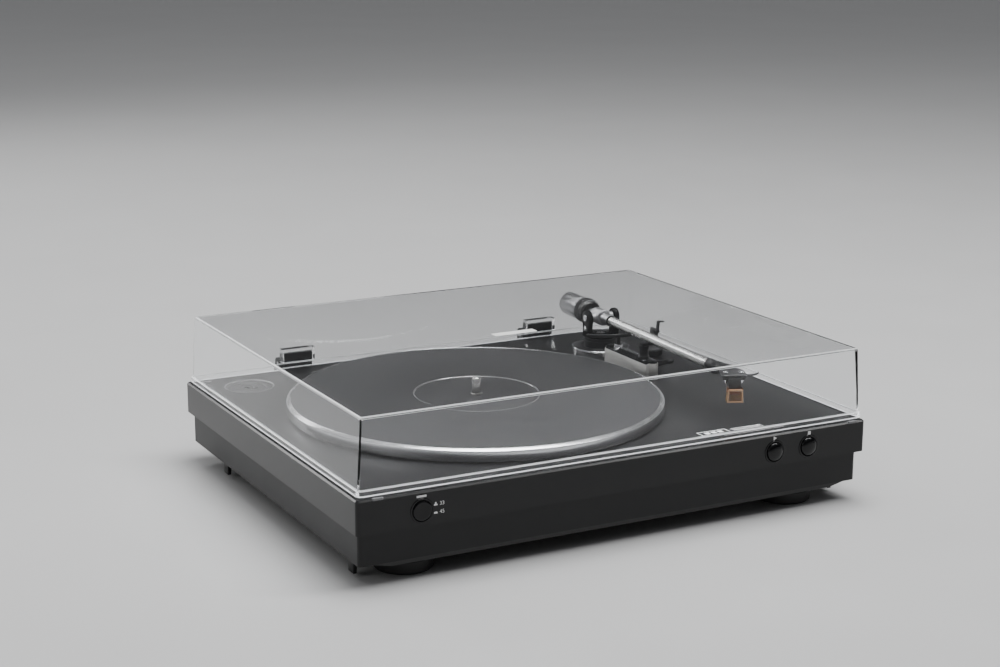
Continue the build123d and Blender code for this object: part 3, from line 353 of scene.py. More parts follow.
LOOKS = {
    "top_deck": deck_black,
    "base_tray": tray_black,
    "bottom_panel": panel_black,
    "feet": foot_rubber,
    "case_screws": steel,
    "bearing_housing": brass,
    "motor": steel,
    "chassis_screws": steel,
    "drive_belt": belt_rubber,
    "control_board": board_green,
    "board_components": part_black,
    "button_switches": part_black,
    "button_bezels": gloss_black,
    "jack_plate": hinge_black,
    "audio_sockets": brass,
    "ground_post": steel,
    "power_inlet": part_black,
    "hinge_brackets": hinge_black,
    "hinge_pins": steel,
    "hinge_screws": steel,
    "arm_base": arm_black,
    "arm_turret": arm_black,
    "arm_bracket": block_aluminium,
    "bracket_cover": arm_black,
    "arm_rest": arm_black,
    "lift_cylinder": arm_black,
    "mechanism_plate": steel,
    "platter": aluminium,
    "platter_mat": mat_rubber,
    "spindle": spindle_steel,
    "drive_pinion": nylon,
    "motor_pulley": brass,
    "dust_cover": acrylic,
    "cover_label": label_paper,
    "hinge_leaves": hinge_black,
    "cover_bumpers": bumper_rubber,
    "arm_yoke": gloss_black,
    "pivot_screws": bright,
    "arm_shaft": steel,
    "arm_housing": stub_grey,
    "arm_tube": tube_aluminium,
    "headshell": shell_black,
    "cartridge": part_black,
    "stylus": amber_dark,
    "cartridge_screws": bright,
    "weight_bush": nylon,
    "counterweight": weight_metal,
    "force_dial": arm_black,
    "stylus_guard": amber,
    "rest_clip": arm_black,
    "cue_lever": arm_black,
    "lift_bar": arm_black,
    "cam_gear": nylon,
    "speed_button": gloss_black,
    "start_button": gloss_black,
    "stop_button": gloss_black,
    "preamp_switch": part_black,
    "adapter_45": arm_black,
    "antiskate_knob": arm_black,
}
for name, look in LOOKS.items():
    data = nodes[name].data
    if not data.materials:
        data.materials.append(look)
    for i in range(len(data.materials)):
        nodes[name].material_slots[i].material = look

# ---------------------------------------------------------------- mesh helpers
def moved(part, matrix):
    """A small mesh turned into place."""
    bmesh.ops.transform(part, matrix=matrix, verts=part.verts)
    return part


def lathe(profile, segments=96):
    """A ring or disc turned about local Z from (radius, height) points in millimetres."""
    part = bmesh.new()
    rings = []
    for radius, z in profile:
        if radius < 1e-6:
            rings.append([part.verts.new((0, 0, z))])
        else:
            rings.append([
                part.verts.new((radius * cos(2 * pi * i / segments),
                                radius * sin(2 * pi * i / segments), z))
                for i in range(segments)
            ])
    for low, high in zip(rings, rings[1:] + rings[:1]):
        if len(low) == 1 and len(high) == 1:
            continue
        for i in range(segments):
            j = (i + 1) % segments
            if len(low) == 1:
                part.faces.new((low[0], high[j], high[i]))
            elif len(high) == 1:
                part.faces.new((low[i], low[j], high[0]))
            else:
                part.faces.new((low[i], low[j], high[j], high[i]))
    bmesh.ops.recalc_face_normals(part, faces=part.faces)
    return part


def slab(outline, low, high, bevel=0.0, steps=2):
    """An outline in local XY, extruded from low to high with rounded edges."""
    part = bmesh.new()
    bottom = [part.verts.new((x, y, low)) for x, y in outline]
    top = [part.verts.new((x, y, high)) for x, y in outline]
    part.faces.new(bottom)
    part.faces.new(top)
    n = len(outline)
    for i in range(n):
        j = (i + 1) % n
        part.faces.new((bottom[i], bottom[j], top[j], top[i]))
    bmesh.ops.recalc_face_normals(part, faces=part.faces)
    if bevel:
        sharp = [e for e in part.edges if e.calc_face_angle(0) > radians(25)]
        bmesh.ops.bevel(part, geom=sharp, offset=bevel, segments=steps, profile=0.5,
                        affect="EDGES", clamp_overlap=True)
    return part


def rectangle(x0, x1, y0, y1):
    return [(x0, y0), (x1, y0), (x1, y1), (x0, y1)]


def rounded(x0, x1, y0, y1, radii, steps=6):
    """A rectangle with its own corner radius at each of (x0,y0), (x1,y0), (x1,y1), (x0,y1)."""
    points = []
    corners = ((x0, y0, 1, 1, pi), (x1, y0, -1, 1, 1.5 * pi), (x1, y1, -1, -1, 0),
               (x0, y1, 1, -1, 0.5 * pi))
    for (x, y, sx, sy, start), radius in zip(corners, radii):
        if radius <= 0:
            points.append((x, y))
            continue
        for i in range(steps + 1):
            a = start + 0.5 * pi * i / steps
            points.append((x + sx * radius + radius * cos(a), y + sy * radius + radius * sin(a)))
    return points


def loft(stations, around=28):
    """A skin through rings: (x, y, turn in degrees, half width, low z, high z, squareness)."""
    part = bmesh.new()
    rings = []
    for x, y, turned, half, low, high, square in stations:
        a = radians(turned)
        ring = []
        for i in range(around):
            t = 2 * pi * i / around
            c, s = cos(t), sin(t)
            u = abs(c) ** (2 / square) * (1 if c > 0 else -1) * half
            v = abs(s) ** (2 / square) * (1 if s > 0 else -1) * (high - low) / 2 + (high + low) / 2
            ring.append(part.verts.new((x + u * cos(a), y + u * sin(a), v)))
        rings.append(ring)
    for low, high in zip(rings, rings[1:]):
        for i in range(around):
            j = (i + 1) % around
            part.faces.new((low[i], low[j], high[j], high[i]))
    part.faces.new(rings[0])
    part.faces.new(rings[-1])
    bmesh.ops.recalc_face_normals(part, faces=part.faces)
    return part


def cut(part, tool):
    """Notches a part with another one, by an exact boolean, applied at once."""
    objects = []
    for shape in (part, tool):
        mesh = bpy.data.meshes.new("cut")
        shape.to_mesh(mesh)
        shape.free()
        o = bpy.data.objects.new("cut", mesh)
        bpy.context.collection.objects.link(o)
        objects.append(o)
    mod = objects[0].modifiers.new("cut", "BOOLEAN")
    mod.operation = "DIFFERENCE"
    mod.solver = "EXACT"
    mod.object = objects[1]
    dg = bpy.context.evaluated_depsgraph_get()
    done = bmesh.new()
    done.from_mesh(objects[0].evaluated_get(dg).to_mesh())
    for o in objects:
        mesh = o.data
        bpy.data.objects.remove(o)
        bpy.data.meshes.remove(mesh)
    return done


def piece(name, parts, place, body, look, replaces=(), sharp=32):
    """Joins small meshes in millimetres into one shown piece that rides on a body."""
    whole = bmesh.new()
    for part in parts:
        mesh = bpy.data.meshes.new("part")
        part.to_mesh(mesh)
        part.free()
        whole.from_mesh(mesh)
        bpy.data.meshes.remove(mesh)
    bmesh.ops.remove_doubles(whole, verts=whole.verts, dist=1e-5)
    bmesh.ops.transform(whole, matrix=Matrix.Scale(MM, 4) @ place, verts=whole.verts)
    mesh = bpy.data.meshes.new(name)
    whole.to_mesh(mesh)
    whole.free()
    mesh.shade_smooth()
    mesh.set_sharp_from_angle(angle=radians(sharp))
    mesh.materials.append(look)
    o = bpy.data.objects.new(name, mesh)
    bpy.context.collection.objects.link(o)
    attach(o, body)
    if replaces:
        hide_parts(*replaces)
    return o


def round_edge(radius, z, r, up=-1, steps=4):
    """Points round the edge whose sharp corner is (radius, z), for a lathe profile."""
    cx, cz = radius - r, z + up * r
    return [(cx + r * cos(0.5 * pi * i / steps), cz - up * r * sin(0.5 * pi * i / steps))
            for i in range(steps + 1)]


def disc(radius, low, high, edge=0.3, low_edge=0.15):
    """A closed round profile with rounded rims, from the bottom centre to the top centre."""
    bottom = list(reversed(round_edge(radius, low, low_edge, up=1)))
    return [(0, low), *bottom, *round_edge(radius, high, edge), (0, high)]


def screw_head(radius, depth, slot_width=0.7, cross=False):
    """A round screw head on local Z with a slot or a cross in it."""
    head = lathe(disc(radius, 0, depth, depth * 0.45, 0.05), 40)
    bar = slab(rectangle(-radius * 1.2, radius * 1.2, -slot_width / 2, slot_width / 2),
               depth * 0.45, depth * 2)
    if cross:
        arm = radius * 0.6
        bar = slab(rectangle(-arm, arm, -slot_width / 2, slot_width / 2), depth * 0.35, depth * 2)
        head = cut(head, bar)
        bar = slab(rectangle(-slot_width / 2, slot_width / 2, -arm, arm), depth * 0.35, depth * 2)
    return cut(head, bar)


# ---------------------------------------------------------------- platter, mat and spindle
on_platter = upright(PLATTER.x, PLATTER.y, DECK)
piece("platter_casting", [lathe([
    (5.1, 8.3), (148.15, 8.3), (148.15, 10.75), (148.3, 10.85), (148.6, 10.82),
    (151.1, 9.28), (151.4, 9.0), (151.5, 8.7),
    (151.5, 1.35), (151.35, 1.1), (151.1, 1.0), (141.7, 1.0), (141.5, 1.2),
    (141.5, 5.35), (72.2, 5.35), (72.0, 5.2), (72.0, 1.65), (68.0, 1.65), (68.0, 5.35),
    (14.0, 5.35), (14.0, 1.35), (5.1, 1.35),
], 256)], on_platter, "platter", aluminium, ["platter"])
piece("platter_mat_ringed", [lathe([
    (5.2, 8.36), (147.9, 8.36), (147.9, 10.55), (147.75, 10.78), (147.5, 10.85),
    (50.7, 10.85), (50.35, 10.80), (50.15, 10.66), (50.0, 10.42), (49.7, 10.36),
    (5.4, 10.36), (5.2, 10.2),
], 256)], on_platter, "platter", mat_rubber, ["platter_mat"])
# the mat's label ring is painted lighter than the mat, as a highlight
piece("mat_label_ring", [lathe([
    (49.75, 10.30), (50.05, 10.62), (50.3, 10.86), (50.7, 10.93), (51.1, 10.86), (51.1, 10.7),
    (50.3, 10.3),
], 192)], on_platter, "platter", painted_rim_highlight, ())
piece("record_spindle", [lathe([
    (0, -35.3), (3.6, -35.3), (4.0, -34.9), (4.0, 8.32), (5.0, 8.32), (5.0, 10.1), (4.85, 10.35),
    (3.57, 10.35), (3.57, 21.6), (3.42, 22.35), (3.0, 23.0), (2.35, 23.5), (1.5, 23.72), (0, 23.75),
], 64)], on_platter, "platter", spindle_steel, ["spindle"])

# ---------------------------------------------------------------- feet, buttons, adapter, knob
feet = []
for x in (-168.0, 168.0):
    for y in (-147.0, 137.0):
        foot = lathe([
            (4.5, 0.25), (4.7, 0), (20.2, 0), (21.2, 0.35), (21.9, 1.2), (22.0, 2.0), (22.0, 9.2),
            (21.4, 9.5), (21.4, 10.3), (22.0, 10.6), (22.0, 12.9), (21.8, 13.08), (1.8, 13.08),
            (1.8, 8.0), (4.5, 8.0),
        ], 96)
        feet.append(moved(foot, Matrix.Translation((x, y, 0))))
piece("feet_round", feet, HERE, "case", foot_rubber, ["feet"])

LUG_X = 209.5
lugs = []
for side in (-1, 1):
    for y in (-150.0, 105.0):
        outline = [(y - 5.5, 14.0), (y - 4.5, 3.0), (y + 4.5, 3.0), (y + 5.5, 14.0)]
        at_side = placed(Vector((side * LUG_X, 0, 0)), REAR, UP, RIGHT)
        lugs.append(moved(slab(outline, -1.5, 1.5, 0.4), at_side))
piece("side_lugs", lugs, HERE, "case", tray_black, ())

low, high = (Vector(v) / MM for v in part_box("audio_sockets"))
for name, x, look in (("left", high.x - 5.5, socket_white), ("right", low.x + 5.5, socket_red)):
    mouth = placed(Vector((x, high.y, (low.z + high.z) / 2)), -RIGHT, UP, REAR)
    ring = lathe([(1.2, -4.0), (3.5, -4.0), (3.5, -0.1), (3.75, 0.0), (3.75, 0.2), (3.5, 0.3),
                  (1.9, 0.3), (1.6, 0.1), (1.2, 0.1)], 48)
    collar = lathe([(4.2, -3.9), (4.9, -3.9), (5.0, -3.75), (5.0, -2.6), (4.9, -2.4), (4.2, -2.4)],
                   48)
    piece("socket_insulator_" + name, [ring, collar], mouth, "case", look, ())

BUTTONS = {"speed": -170.0, "start": 132.5, "stop": 164.7}
BUTTON_DROP = 14.0
rings = []
for name, x in BUTTONS.items():
    place = facing_front(x, FRONT, DECK - BUTTON_DROP)
    if name == "speed":
        cap = [(0, -6.0), (7.35, -6.0), (7.35, 0.4), (7.2, 0.95), (6.8, 1.3), (6.2, 1.4),
               (5.4, 1.28), (0, 1.1)]
    else:
        cap = [(0, -6.0), (7.35, -6.0), (7.35, 0.5), (7.25, 1.05), (6.9, 1.6), (6.2, 2.2),
               (5.2, 2.72), (4.0, 3.1), (2.7, 3.35), (1.3, 3.47), (0, 3.5)]
    stem = lathe([(0, -11.6), (3.0, -11.6), (3.0, -5.9), (0, -5.9)], 32)
    piece(name + "_button_cap", [lathe(cap, 64), stem], place, name + "_button", gloss_black,
          [name + "_button"])
    ring = lathe([(7.65, -4.0), (8.6, -4.0), (8.6, 0.0), (9.2, 0.02), (9.2, 0.3), (9.05, 0.5),
                  (8.75, 0.6), (8.0, 0.6), (7.75, 0.45), (7.65, 0.2)], 64)
    rings.append(moved(ring, place))
piece("button_rings", rings, HERE, "case", gloss_black, ["button_bezels"])


def digits(word, size, x, z):
    """Plain numbers on the front."""
    data = bpy.data.curves.new("digits", "FONT")
    data.body = word
    data.size = size
    data.align_x = "CENTER"
    data.align_y = "CENTER"
    data.extrude = 0.04
    o = bpy.data.objects.new("digits", data)
    bpy.context.collection.objects.link(o)
    done = bmesh.new()
    done.from_mesh(o.evaluated_get(bpy.context.evaluated_depsgraph_get()).to_mesh())
    bpy.data.objects.remove(o)
    bpy.data.curves.remove(data)
    return moved(done, facing_front(x, FRONT, z))


def on_front(outline, x, z):
    return moved(slab(outline, -0.02, 0.05), facing_front(x, FRONT, z))


marks = [
    on_front(rounded(-3.8, 3.8, -0.75, 0.75, (0.3,) * 4), -170.4, 63.1),
    on_front([(-1.4, -1.0), (1.4, -1.0), (1.4, -0.1), (0.6, 0.3), (0.6, 1.5), (-0.6, 1.5),
              (-0.6, 0.3), (-1.4, -0.1)],
             -159.4, 55.7),
    on_front([(-1.4, -0.9), (1.4, -0.9), (1.4, 0.1), (0.6, 0.5), (-0.6, 0.5), (-1.4, 0.1)], -159.4,
             49.6),
    digits("33", 3.9, -154.4, 55.8),
    digits("45", 3.9, -154.4, 49.7),
    on_front([(-1.3, -1.5), (1.5, 0), (-1.3, 1.5)], 132.4, 63.4),
    on_front(rectangle(-1.35, 1.35, -1.35, 1.35), 165.0, 63.2),
]
piece("front_marks", marks, HERE, "case", ink_white, ())

on_deck = [slab(rectangle(x0, x1, y0, y1), DECK - 0.02, DECK + 0.04) for x0, x1, y0, y1 in (
    (80.0, 106.0, -152.0, -151.2), (80.0, 106.0, -160.8, -160.0), (80.0, 80.8, -160.0, -152.0),
    (105.2, 106.0, -160.0, -152.0), (85.0, 89.0, -158.4, -153.6), (91.0, 95.0, -158.4, -153.6),
    (97.0, 101.0, -158.4, -153.6), (110.0, 138.0, -154.2, -153.4), (110.0, 138.0, -156.4, -155.6),
    (110.0, 138.0, -158.6, -157.8), (96.0, 152.0, -165.4, -165.0),
)]
piece("deck_marks", on_deck, HERE, "case", ink_white, ())

# the adapter recess's rim is painted lighter than the deck, as a highlight
piece("recess_edge", [lathe([
    (19.75, -2.6), (19.95, -2.6), (20.0, -0.35), (20.3, 0.0), (20.75, 0.02), (20.75, 0.16),
    (20.3, 0.2), (19.95, 0.05), (19.75, -0.4),
], 96)], upright(*ADAPTER, DECK), "case", painted_rim_highlight, ())
piece("single_adapter", [lathe([
    (3.62, -4.4), (18.7, -4.4), (19.0, -4.1), (19.0, -1.7), (18.8, -1.25), (18.3, -1.0),
    (14.2, -1.0), (13.9, -1.15), (13.6, -1.45), (6.6, -1.45), (6.3, -1.15), (6.0, -1.0),
    (3.9, -1.0), (3.62, -1.25),
], 96)], upright(*ADAPTER, DECK), "adapter_45", shell_black, ["adapter_45"])

teeth = 48
knob = [lathe([
    (0, -7.6), (3.0, -7.6), (3.0, 0.4), (8.6, 0.4), (8.8, 0.6), (8.8, 1.2), (8.5, 1.4), (8.5, 5.8),
    (8.3, 6.4), (7.6, 6.85), (0, 6.9),
], 96)]
for i in range(teeth):
    rib = slab(rectangle(8.4, 8.95, -0.22, 0.22), 1.5, 5.7, 0.1, 1)
    knob.append(moved(rib, Matrix.Rotation(2 * pi * i / teeth, 4, "Z")))
knob[0] = cut(knob[0], slab(rectangle(-0.5, 0.5, 3.3, 7.8), 6.5, 8.0))
piece("antiskate_dial", knob, upright(*KNOB, DECK), "antiskate_knob", arm_black, ["antiskate_knob"])
piece("antiskate_mark", [slab(rectangle(-0.35, 0.35, 3.6, 7.4), 6.4, 6.62, 0.05, 1)],
      upright(*KNOB, DECK), "antiskate_knob", ink_white, ())

# ---------------------------------------------------------------- tonearm base and bar
on_pivot = upright(PIVOT.x, PIVOT.y, DECK)
piece("arm_base_disc", [lathe([
    (9.6, 0), (25.3, 0), (25.3, 5.2), (25.1, 5.75), (24.6, 5.95), (18.2, 5.95), (18.0, 5.75),
    (17.4, 5.75), (17.2, 5.95), (9.6, 5.95),
], 128)], on_pivot, "case", arm_black, ["arm_base"])
piece("arm_base_rim", [lathe([
    (25.2, 0.05), (26.0, 0.05), (26.0, 5.3), (25.85, 5.75), (25.5, 5.98), (25.2, 5.98),
    (25.05, 5.6), (25.2, 5.2),
], 128)], on_pivot, "case", bright, ())
piece("arm_turret_drum", [lathe([
    (4.05, -10.0), (9.5, -10.0), (9.5, 6.0), (15.0, 6.0), (15.0, 11.0), (14.7, 11.2), (14.7, 11.6),
    (15.0, 11.8), (15.0, 13.3), (14.8, 13.8), (14.3, 14.0), (4.3, 14.0), (4.05, 13.75),
], 96)], on_pivot, "case", arm_black, ["arm_turret"])

bar_end = [(136.9 + 5.1 * cos(radians(a)), 1.1 + 5.1 * sin(radians(a)))
           for a in range(215, 361, 12)]
bar = slab([(133.2, 71.0), (127.3, 63.2), (127.3, -3.0), (127.6, -3.7), (128.3, -4.0),
            (130.2, -4.0), (130.5, -1.6), (132.0, -1.2), *bar_end, (142.0, 1.1), (142.0, 71.0)],
            DECK, DECK + 12.5, 0.3)
around_base = lathe([(0, -1), (26.15, -1), (26.15, 30), (0, 30)], 96)
bar = cut(bar, moved(around_base, on_pivot))
bar = cut(bar, moved(lathe([(0, 5), (2.5, 5), (2.5, 20), (0, 20)], 32), upright(*LIFT_POST, DECK)))
bar = cut(bar, moved(lathe([(0, -6), (2.06, -6), (2.06, 6), (0, 6)], 32),
                     placed(LEVER_AXLE, REAR, UP, RIGHT)))
piece("arm_bar", [bar], HERE, "case", block_aluminium, ["arm_bracket"])

lid = slab([(133.6, 70.2), (128.1, 62.9), (128.1, -2.0), (129.2, -2.6), (132.4, 0.0), (134.0, -2.2),
            (136.9, -3.3), (139.6, -2.6), (141.2, 0.4), (141.2, 70.2)], DECK + 12.5, DECK + 14.0,
            0.3)
lid = cut(lid, moved(lathe([(0, -1), (26.15, -1), (26.15, 30), (0, 30)], 96), on_pivot))
lid = cut(lid, moved(lathe([(0, 5), (2.5, 5), (2.5, 20), (0, 20)], 32), upright(*LIFT_POST, DECK)))
for y0, y1 in ((23.0, 40.5), (55.0, 61.0)):
    lid = cut(lid, slab(rectangle(130.2, 131.6, y0, y1), DECK + 13.4, DECK + 15))
    lid = cut(lid, slab(rectangle(134.6, 136.0, y0, y1), DECK + 13.4, DECK + 15))
piece("arm_bar_lid", [lid], HERE, "case", gloss_black, ["bracket_cover"])
lid_screws = []
for x, y in ((138.6, 44.0), (131.3, 5.5), (138.6, 27.5)):
    lid_screws.append(moved(screw_head(1.7, 0.7, 0.45, True), upright(x, y, DECK + 13.98)))
piece("arm_bar_screws", lid_screws, HERE, "case", bright, ())

piece("lift_guide", [lathe([
    (2.05, 14.0), (4.0, 14.0), (4.0, 16.0), (3.7, 16.2), (3.7, 18.3), (3.5, 18.8), (3.1, 19.0),
    (2.2, 19.0), (2.05, 18.8),
], 48)], upright(*LIFT_POST, DECK), "case", bright, ["lift_cylinder"])

# ---------------------------------------------------------------- arm rest and clip
rest = PIVOT + ARM * REST_AHEAD
post = lathe([(0, 14.0), (4.8, 14.0), (4.8, 15.6), (4.2, 16.0), (3.9, 17.0), (3.9, 21.2),
              (4.3, 22.2), (4.8, 24.0), (4.8, 25.0), (0, 25.0)], 48)
post = moved(post, upright(rest.x - 3.0, rest.y, DECK))
gap = TUBE_RADIUS + LIFT_GAP
cradle = slab([
    (-7.0, -gap - 2.4), (-7.0, -gap), (-6.2, -gap), (4.85, -gap), (4.85, 5.0), (4.9, 6.6),
    (5.6, 7.5), (7.3, 7.5), (8.2, 6.8), (8.6, 5.6), (8.6, -gap - 1.4), (7.8, -gap - 2.4),
], -4.0, 4.0, 0.3)
cradle = cut(cradle, moved(lathe([(0, -6), (1.06, -6), (1.06, 6), (0, 6)], 24),
                           Matrix.Translation((6.5, 5.75, 0))))
cradle = moved(cradle, placed(rest, ARM_RIGHT, UP, ARM))
piece("arm_rest_post", [post, cradle], HERE, "case", arm_black, ["arm_rest"])

open_by = radians(84)
clip_x = ARM_RIGHT * cos(open_by) + UP * sin(open_by)
clip_place = placed(rest + ARM * 4.3 + ARM_RIGHT * 6.5 + UP * 5.75, clip_x, ARM.cross(clip_x), ARM)
hook = slab([
    (-1.75, -0.4), (-1.3, -1.25), (0.0, -1.8), (1.5, -0.95), (7.0, -0.8), (7.75, -1.5), (8.0, -4.6),
    (8.4, -5.3), (8.9, -5.3), (9.0, -4.6), (9.0, -0.2), (8.9, 0.8), (8.4, 1.15), (7.8, 0.9),
    (2.0, 0.9), (0.9, 1.6), (-0.6, 1.7), (-1.6, 0.9),
], 0.0, 3.0, 0.25)
pin = lathe([(0, -8.0), (0.85, -8.0), (1.0, -7.8), (1.0, 0.1), (0, 0.1)], 24)
piece("arm_clip", [hook, pin], clip_place, "rest_clip", arm_black, ["rest_clip"])

# ---------------------------------------------------------------- cueing lift and lever
steps = 28
arc_in, arc_out = [], []
for i in range(steps + 1):
    a = radians(-87.0 - 49.0 * i / steps)
    arc_in.append((46.8 * cos(a), 46.8 * sin(a)))
    arc_out.append((50.8 * cos(a), 50.8 * sin(a)))
lift_top = 32.0 - gap
bow = slab(arc_out + arc_in[::-1], lift_top - 2.5, lift_top, 0.35)
bow = moved(bow, on_pivot)
stem = lathe([(0, 12.5), (1.8, 12.5), (2.0, 12.7), (2.0, lift_top - 2.4), (0, lift_top - 2.4)], 32)
stem = moved(stem, upright(*LIFT_POST, DECK))
piece("lift_bow", [bow, stem], HERE, "lift_bar", arm_black, ["lift_bar"])

lever = slab([
    (2.5, 2.6), (3.6, 0.6), (3.4, -1.4), (2.0, -3.0), (0.0, -3.6), (-3.0, -2.6), (-24.0, 5.6),
    (-25.4, 7.4), (-26.0, 9.4), (-22.0, 8.9), (-14.0, 6.3), (-6.0, 4.2), (0.0, 3.6),
], 0.6, 3.2, 0.35)
pad = slab([(-20.0, 4.8), (-24.3, 5.5), (-26.6, 7.6), (-27.4, 9.2), (-26.2, 10.3), (-22.0, 9.0),
            (-19.6, 7.6)],
           0.6, 6.6, 0.45)
axle = lathe([(0, -5.4), (1.8, -5.4), (2.0, -5.2), (2.0, 0.8), (0, 0.8)], 32)
lever_place = placed(LEVER_AXLE, REAR, UP, RIGHT)
piece("cueing_lever", [lever, pad, axle], lever_place, "cue_lever", arm_black, ["cue_lever"])
piece("cueing_lever_boss", [screw_head(2.2, 0.5, 0.5)],
      lever_place @ Matrix.Translation((0, 0, 3.15)), "cue_lever", bright, ())

# ---------------------------------------------------------------- pillar, gimbal and screws
yoke_base = lathe([(4.0, 14.5), (14.0, 14.5), (14.5, 14.9), (14.5, 16.9), (14.2, 17.4),
                   (13.7, 17.5), (4.0, 17.5)], 96)
yoke_parts = [moved(yoke_base, on_pivot)]
for side in (-1, 1):
    x0, x1 = sorted((side * 11.4, side * 15.4))
    n = 16
    cheek = [(-6.0, -17.0), (6.0, -17.0), (6.0, -9.0), (7.0, -2.0)]
    cheek += [(7.0 * cos(pi * i / n), 7.0 * sin(pi * i / n)) for i in range(n + 1)]
    cheek += [(-7.0, -2.0), (-6.0, -9.0)]
    wall = slab(cheek, x0, x1, 0.5)
    hole = lathe([(0, -20), (1.5, -20), (1.5, 20), (0, 20)], 24)
    wall = cut(wall, hole)
    yoke_parts.append(moved(wall, placed(PIVOT, -ARM, UP, ARM_RIGHT)))
piece("gimbal_yoke", yoke_parts, HERE, "arm_pillar", gloss_black, ["arm_yoke"])
gimbal_screws = []
for side in (-1, 1):
    outward = ARM_RIGHT * side
    place = placed(PIVOT + outward * 15.4, -ARM * side, UP, outward)
    gimbal_screws.append(moved(screw_head(3.0, 1.2, 0.8), place))
    shank = lathe([(0, -7.0), (1.1, -6.8), (1.5, -5.8), (1.5, 0.1), (0, 0.1)], 24)
    gimbal_screws.append(moved(shank, place))
    if side == -1:
        low = placed(PIVOT + outward * 15.4 - UP * 9.0, -ARM * side, UP, outward)
        gimbal_screws.append(moved(screw_head(2.2, 1.0, 0.6), low))
piece("gimbal_screws", gimbal_screws, HERE, "arm_pillar", bright, ["pivot_screws"])

# ---------------------------------------------------------------- tonearm
body_parts = [
    lathe([(0, -9.0), (6.6, -9.0), (7.2, -8.4), (7.2, 5.4), (6.6, 6.0), (5.2, 6.2), (5.2, 18.3),
           (5.0, 18.5), (0, 18.5)], 64),
    lathe([(0, -58.0), (3.7, -58.0), (4.0, -57.7), (4.0, -8.9), (0, -8.9)], 48),
]
trunnion = lathe([(0, -10.9), (1.52, -10.9), (1.52, -10.85), (4.0, -10.9), (4.2, -10.7),
                  (4.2, 10.7), (4.0, 10.9), (1.52, 10.85), (1.52, 10.9), (0, 10.9)], 48)
body_parts.append(moved(trunnion, placed(Vector((0, 0, 0)), UP, REAR, -RIGHT)))
piece("arm_body", body_parts, ON_ARM, "tonearm", stub_grey, ["arm_housing"])
ring = lathe([(0, 18.5), (4.9, 18.5), (4.9, 19.9), (4.7, 20.05), (0, 20.05)], 64)
piece("arm_ring_dark", [ring], ON_ARM, "tonearm", gloss_black, ())
pipe = lathe([(3.6, 20.0), (4.1, 20.0), (4.25, 20.15), (4.25, 182.85), (4.1, 183.0), (3.6, 183.0)],
             64)
piece("arm_pipe", [pipe], ON_ARM, "tonearm", tube_aluminium, ["arm_tube"])

shell = loft([
    (0.0, -7.0, 0, 8.6, 32.3, 34.2, 5),
    (0.0, -6.75, 0, 9.2, 32.1, 34.4, 6),
    (0.0, -6.2, 0, 9.7, 32.0, 34.5, 8),
    (0.0, -5.0, 0, 10.0, 32.0, 34.5, 9),
    (0.0, 2.0, 0, 10.0, 32.0, 34.5, 9),
    (-0.1, 8.0, 1, 9.9, 32.0, 34.6, 8),
    (-1.0, 12.0, 6, 9.0, 31.5, 34.8, 5),
    (-3.0, 16.0, 12, 7.6, 30.5, 35.2, 3.6),
    (-5.9, 20.0, 18, 6.2, 29.0, 35.9, 2.7),
    (-8.3, 22.9, 22, 5.4, 27.6, 36.6, 2.2),
    (-10.2, 24.7, 22.5, 5.05, 27.0, 37.0, 2),
    (-10.6, 25.6, 22.5, 5.0, 27.0, 37.0, 2),
    (-13.7, 33.1, 22.5, 5.0, 27.0, 37.0, 2),
    (-13.85, 33.5, 22.5, 4.7, 27.3, 36.7, 2),
])
finger = loft([
    (8.6, 0.2, 90, 1.7, 31.95, 33.0, 4),
    (12.0, 0.6, 90, 2.0, 31.95, 32.95, 4),
    (16.5, 1.3, 90, 2.1, 32.1, 33.0, 4),
    (18.8, 1.7, 90, 2.0, 32.6, 33.4, 4),
    (20.2, 1.9, 90, 1.7, 33.5, 34.2, 3),
    (20.6, 2.0, 90, 1.2, 34.1, 34.6, 3),
], 16)
plug = lathe([(0, 171.0), (3.55, 171.0), (3.55, 183.5), (0, 183.5)], 32)
plug = moved(plug, ON_HEAD.inverted() @ ON_ARM)
piece("head_shell", [shell, finger, plug], ON_HEAD, "tonearm", shell_black, ["headshell"],
      sharp=40)

ears = slab(rounded(-8.75, 8.75, -4.0, 4.0, (2, 2, 2, 2)), 29.5, 32.0, 0.3)
block = slab(rounded(-4.7, 4.7, -8.5, 8.5, (0.8, 0.8, 0.4, 0.4)), 23.5, 31.9, 0.3)
piece("cartridge_body", [ears, block], ON_HEAD, "tonearm", part_black, ["cartridge"])
for x, z, look, word in ((-2.5, 27.5, ink_white, "a"), (2.5, 27.5, ink_grey, "b"),
                         (-2.5, 25.0, brass, "c"), (2.5, 25.0, steel, "d")):
    terminal = moved(lathe([(0, 0), (0.6, 0), (0.6, 3.8), (0.4, 4.0), (0, 4.0)], 16),
                     placed(Vector((x, 8.4, z)), RIGHT, -UP, REAR))
    piece("cartridge_terminal_" + word, [terminal], ON_HEAD, "tonearm", look, ())
head_screws = []
for x in (-6.35, 6.35):
    head_screws.append(moved(screw_head(2.1, 1.4, 0.6), Matrix.Translation((x, 0, 34.5))))
    shank = lathe([(0, 26.2), (1.1, 26.2), (1.25, 26.4), (1.25, 34.6), (0, 34.6)], 20)
    head_screws.append(moved(shank, Matrix.Translation((x, 0, 0))))
    hexagon = [(2.0 * cos(pi * i / 3), 2.0 * sin(pi * i / 3)) for i in range(6)]
    head_screws.append(moved(slab(hexagon, 27.9, 29.5, 0.15, 1), Matrix.Translation((x, 0, 0))))
piece("head_screws", head_screws, ON_HEAD, "tonearm", bright, ["cartridge_screws"])

